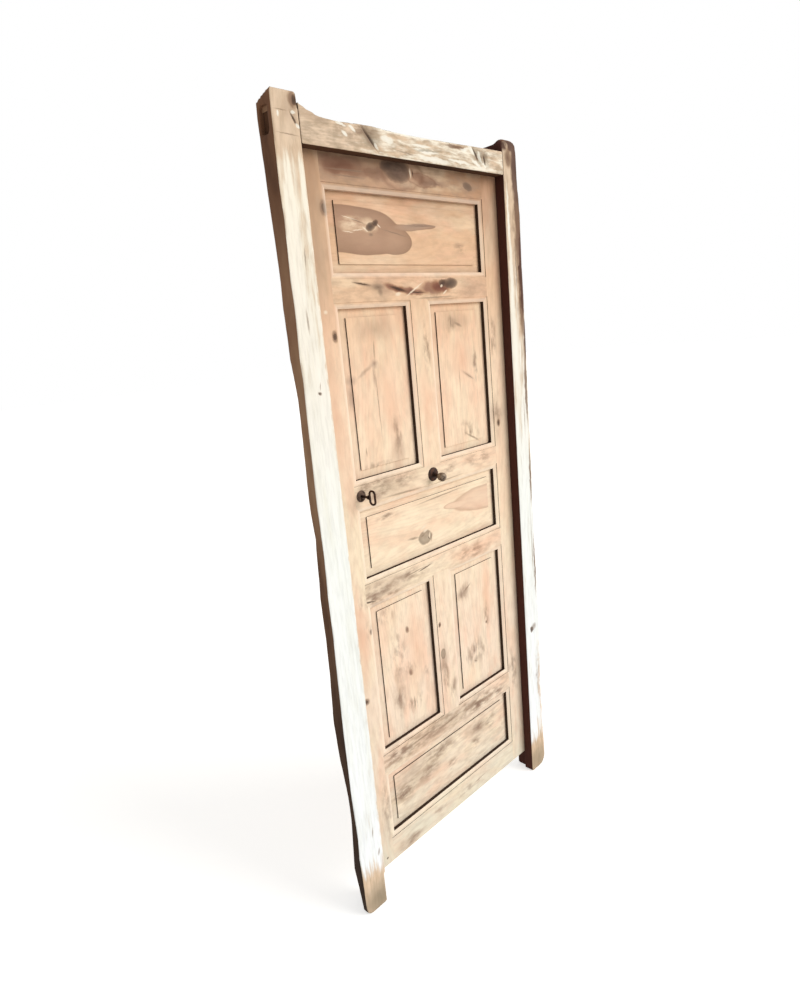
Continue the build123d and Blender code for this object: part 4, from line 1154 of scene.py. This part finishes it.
@dataclass
class HewnFrame:
    """The frame's two posts and head, roughened from the solids: hewn faces and worn corners.

    A chop of the axe has a width and a length, and finer chops lie over it. Hew and wane are its depths
    on the face and on the outer sides. The head's top edge sweeps up to the left post in a hollow curve.
    """

    frame: dict[str, Any]
    finish: LimedPine
    grid: float = 4.0
    chop: Pair = (30.0, 120.0)
    fine_chop: float = 3.1
    fine_share: float = 0.5
    hew: float = 0.8
    wane: float = 1.6
    bite: float = 0.6
    bite_share: float = 0.6
    corner: float = 1.2
    steep: float = 0.5
    stop_back: float = -3.0
    sweep_post: float = -370.5
    sweep_length: float = 110.0
    sweep_rise: float = 13.0
    sweep_from: float = 2060.0
    wedge_arris: float = 0.6
    horn_round: dict[str, float] = field(default_factory=lambda: {"left_post": 7.0, "right_post": 24.0})
    gouges: dict[str, tuple[Gouge, ...]] = field(
        default_factory=lambda: {
            "head_rail": (
                Gouge((-188, 2082), (-134, 2027), 7.0, 5.0),
                Gouge((236, 2078), (258, 2044), 9.0, 5.0),
                Gouge((284, 2064), (292, 2036), 10.0, 6.0),
            ),
            "left_post": (
                Gouge((-392, 2080), (-377, 2052), 6.0, 3.0),
                Gouge((-372, 2112), (-378, 2092), 9.0, 5.0),
            ),
            "right_post": (
                Gouge((404, 558), (412, 540), 9.0, 4.0),
                Gouge((424, 1760), (426, 1640), 6.0, 3.0),
            ),
        }
    )
    washes: dict[str, Wash] = field(
        default_factory=lambda: {
            "left_post": Wash(
                (
                    (0.03, "#000000"), (0.046, "#808080"), (0.062, "#bcbcbc"), (0.09, "#e8e8e8"),
                    (0.3, "#f4f4f4"), (0.6, "#f0f0f0"), (0.72, "#e4e4e4"), (0.8, "#d8d8d8"),
                    (0.895, "#cecece"), (0.93, "#c4c4c4"), (0.944, "#a4a4a4"), (0.96, "#303030"),
                ),
                reveal_top=2018.0,
            ),
            "right_post": Wash(
                (
                    (0.03, "#000000"), (0.046, "#808080"), (0.06, "#b8b8b8"), (0.12, "#e0e0e0"),
                    (0.5, "#e4e4e4"), (0.72, "#c6c6c6"), (0.9, "#a6a6a6"), (0.96, "#989898"),
                    (0.985, "#404040"),
                ),
                reveal="#46231a",
            ),
            # The head's hidden sides take one darker side tone: painted shade on its underside and on the
            # tenon end in the left post's mortise.
            "head_rail": Wash(
                (
                    (0.0, "#6c6c6c"), (0.12, "#949494"), (0.25, "#9e9e9e"), (0.34, "#b4b4b4"),
                    (0.6, "#bcbcbc"), (0.82, "#bababa"), (1.0, "#b4b4b4"),
                ),
                -370.0, 370.0, (6.0, 30.0), (15.0, 90.0), side_tone=((0.0, "#84705f"), (1.0, "#84705f")),
            ),
        }
    )
    wedge_wash: Wash = Wash(
        ((0.0, "#000000"), (1.0, "#000000")), 0.0, 1.0, side_tone=((0.0, "#ffffff"), (1.0, "#ffffff"))
    )

    def build(self) -> None:
        """Makes each timber in place of its solid, and dresses the wedges of the head."""
        for name, wash in self.washes.items():
            grain = Grain.LEVEL if name == "head_rail" else Grain.UPRIGHT
            piece = self.roughen(name)
            dress(piece, self.finish.material(Board.cut_from(name, grain), wash))
            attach(piece, "frame")
            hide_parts(name)
            LOG.info("hewn timber %s: %d faces", name, len(piece.data.polygons))
        wedges = self.frame["nodes"]["head_wedges"]
        dress(wedges, self.finish.material(Board.cut_from("head_wedges", Grain.LEVEL), self.wedge_wash))
        soften(wedges, self.wedge_arris)
        LOG.info("head wedges")

    def roughen(self, name: str) -> bpy.types.Object:
        """Copies a timber on a fine grid and works its faces by hand.

        Args:
            name: The timber's node.

        Returns:
            The roughened timber.
        """
        source = self.frame["nodes"][name]
        piece = bpy.data.objects.new(f"hewn_{name}", source.data.copy())
        bpy.context.scene.collection.objects.link(piece)
        mesher = piece.modifiers.new("grid", "REMESH")
        mesher.mode = "VOXEL"
        mesher.voxel_size = self.grid * MM
        graph = bpy.context.evaluated_depsgraph_get()
        mesh = bpy.data.meshes.new_from_object(piece.evaluated_get(graph))
        piece.modifiers.clear()
        piece.data = mesh
        solid = BVHTree.FromObject(source, graph)
        low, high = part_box(name)
        for vertex in mesh.vertices:
            spot, normal, _, _ = solid.find_nearest(vertex.co)
            worked = self.worn_horn(name, self.work(spot, normal, vertex.co), low, high)
            lift = self.sweep(spot) * MM if name == "head_rail" else 0.0
            worked.z += lift
            if normal.y < -self.steep:
                worked.y += MM * sum(g.sink(spot.x / MM, spot.z / MM) for g in self.gouges.get(name, ()))
            limits = zip(worked, low, (high[0], high[1], high[2] + lift))
            vertex.co = Vector([min(max(c, least), most) for c, least, most in limits])
        for polygon in mesh.polygons:
            polygon.use_smooth = True
        return piece

    def sweep(self, spot: Vector) -> float:
        """Finds how far a point of the head is raised towards the left post.

        Args:
            spot: The point, in metres.

        Returns:
            The rise, which is 0 below the head's upper half and on the tenon.
        """
        if spot.z <= self.sweep_from * MM or spot.x <= self.sweep_post * MM:
            return 0.0
        share = max(0.0, 1 - (spot.x / MM - self.sweep_post) / self.sweep_length)
        return self.sweep_rise * share * share

    def worn_horn(self, name: str, spot: Vector, low: Vector, high: Vector) -> Vector:
        """Rounds the front and side arrises of a post's top, as weather does.

        Args:
            name: The timber's node.
            spot: The point, in metres.
            low: The timber's lowest corner.
            high: Its highest corner.

        Returns:
            The point, moved in where it stood outside the round.
        """
        radius = self.horn_round.get(name, 0.0) * MM
        if spot.z < high[2] - 2 * radius or radius == 0.0:
            return spot
        middle = Vector(
            (
                min(max(spot.x, low[0] + radius), high[0] - radius),
                max(spot.y, low[1] + radius),
                min(spot.z, high[2] - radius),
            )
        )
        out = spot - middle
        fade = min(1.0, (spot.z - high[2] + 2 * radius) / radius)
        if out.length <= radius:
            return spot
        return spot.lerp(middle + out.normalized() * radius, fade)

    def work(self, spot: Vector, normal: Vector, rough: Vector) -> Vector:
        """Moves one point of a timber: hewn on the face, waney outside, true in the rebate.

        Args:
            spot: The nearest point of the solid, in metres.
            normal: The solid's normal there.
            rough: The point on the grid.

        Returns:
            The worked point.
        """
        p = spot / MM
        if p.y > self.stop_back and abs(normal.y) < self.steep and normal.x * p.x < 0:
            return spot
        corner = (rough - spot).length / MM
        across, along = self.chop
        place = Vector((p.x / across, p.y / across, p.z / along))
        chop = noise.noise(place) + self.fine_share * noise.noise(place * self.fine_chop)
        depth = self.wane if normal.x * p.x > self.steep else self.hew
        sunk = depth * (chop - self.bite) * self.bite_share
        keep = spot.lerp(rough, min(1.0, corner / self.corner))
        return keep + normal * sunk * MM


@dataclass
class Ironmongery:
    """Hinges, rim lock, key, escutcheon and knob."""

    frame: dict[str, Any]
    iron: AgedMetal
    brass: AgedMetal
    worn: AgedMetal
    arris: float = 0.35
    slots: tuple[str, ...] = ("aged_iron", "aged_brass")

    def build(self) -> None:
        """Dresses every metal fitting and softens its edges."""
        iron = self.iron.material()
        own = {"door_knob": self.brass.material(), "keyhole_escutcheon": self.worn.material()}
        slots = {entry["node"]: entry["material_slot"] for entry in self.frame["record"]["subparts"]}
        for name, piece in self.frame["nodes"].items():
            if slots.get(name) in self.slots:
                dress(piece, own.get(name, iron))
                soften(piece, self.arris)
                LOG.info("fitting %s", name)


@dataclass
class Studio:
    """The floor, soft light and camera."""

    lens: float = 24.066
    place_m: tuple[float, float, float] = (-1.3884, -1.29925, 1.5934)
    turn_degrees: tuple[float, float, float] = (76.0625, 5.1863, -45.1047)
    floor_m: float = 60.0
    floor_paint: str = "#f1efeb"
    floor_glow: float = 0.56
    key_strength: float = 2.15
    key_from: tuple[float, float, float] = (0.5, -0.85, 0.45)
    key_spread_degrees: float = 40.0
    ambient: float = 0.47

    def build(self) -> None:
        """Sets the floor, the light and the camera."""
        scene = bpy.context.scene
        scene.view_settings.view_transform = "Standard"
        self.floor()
        self.light()
        self.world()
        data = bpy.data.cameras.new("camera")
        data.lens = self.lens
        data.dof.use_dof = False
        camera = bpy.data.objects.new("camera", data)
        camera.location = self.place_m
        camera.rotation_euler = Euler([math.radians(a) for a in self.turn_degrees])
        scene.collection.objects.link(camera)
        scene.camera = camera

    def floor(self) -> None:
        """Lays a pale floor that shows white and keeps the door's shadow."""
        half = self.floor_m / 2
        mesh = bpy.data.meshes.new("floor")
        corners = [(-half, -half, 0), (half, -half, 0), (half, half, 0), (-half, half, 0)]
        mesh.from_pydata(corners, [], [(0, 1, 2, 3)])
        floor = bpy.data.objects.new("floor", mesh)
        bpy.context.scene.collection.objects.link(floor)
        material = bpy.data.materials.new("white_floor_paint")
        tree = blank(material)
        paint = add(tree, "BsdfDiffuse", {"Color": linear(self.floor_paint)})
        glow = add(tree, "Math", {0: self.seen(tree), 1: self.floor_glow}, operation="MULTIPLY")
        lift = add(tree, "Emission", {"Color": (1, 1, 1, 1), "Strength": glow})
        both = add(tree, "AddShader", {0: paint, 1: lift})
        add(tree, "OutputMaterial", {"Surface": both})
        mesh.materials.append(material)

    def seen(self, tree: Tree) -> Node:
        """Adds the share of rays that see the background itself.

        Args:
            tree: The node tree to add to.

        Returns:
            A node that gives 1 on camera, glossy and transmission rays.
        """
        rays = add(tree, "LightPath").outputs
        shine = add(tree, "Math", {0: rays["Is Camera Ray"], 1: rays["Is Glossy Ray"]}, operation="MAXIMUM")
        return add(tree, "Math", {0: shine, 1: rays["Is Transmission Ray"]}, operation="MAXIMUM")

    def world(self) -> None:
        """Sets an even sky: white where it is seen, dim where it lights."""
        world = bpy.data.worlds.new("studio")
        bpy.context.scene.world = world
        tree = blank(world)
        strength = add(tree, "MapRange", {0: self.seen(tree), 3: self.ambient, 4: 1.0})
        sky = add(tree, "Background", {"Color": (1, 1, 1, 1), "Strength": strength})
        add(tree, "OutputWorld", {"Surface": sky})

    def light(self) -> None:
        """Hangs one broad soft lamp before the door, high and to its right."""
        data = bpy.data.lights.new("key", "SUN")
        data.energy = self.key_strength
        data.angle = math.radians(self.key_spread_degrees)
        lamp = bpy.data.objects.new("key", data)
        lamp.rotation_euler = (-Vector(self.key_from)).to_track_quat("-Z", "Y").to_euler()
        bpy.context.scene.collection.objects.link(lamp)


def main() -> None:
    """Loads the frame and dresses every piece."""
    logging.basicConfig(level=logging.INFO, format="%(name)s: %(message)s")
    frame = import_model()
    HewnFrame(frame, LimedPine()).build()
    Leaf(frame, BarePine()).build()
    Ironmongery(
        frame,
        # Dark brown with dull glints, as old iron is where hands have oiled it.
        AgedMetal("wrought_iron_aged", "#2b1d16", "#4a2f20", 0.7, 0.55),
        # Grey-gold and dim, as brass goes when it is never polished.
        AgedMetal("brass_dulled", "#8b7966", "#4f4135", 0.45, 0.58),
        # Browner and paler, as the key has rubbed the plate round it.
        AgedMetal("wrought_iron_rubbed", "#5b4638", "#3a291f", 0.6, 0.6),
    ).build()
    Studio().build()
    bpy.context.view_layer.update()


if __name__ == "__main__":
    main()
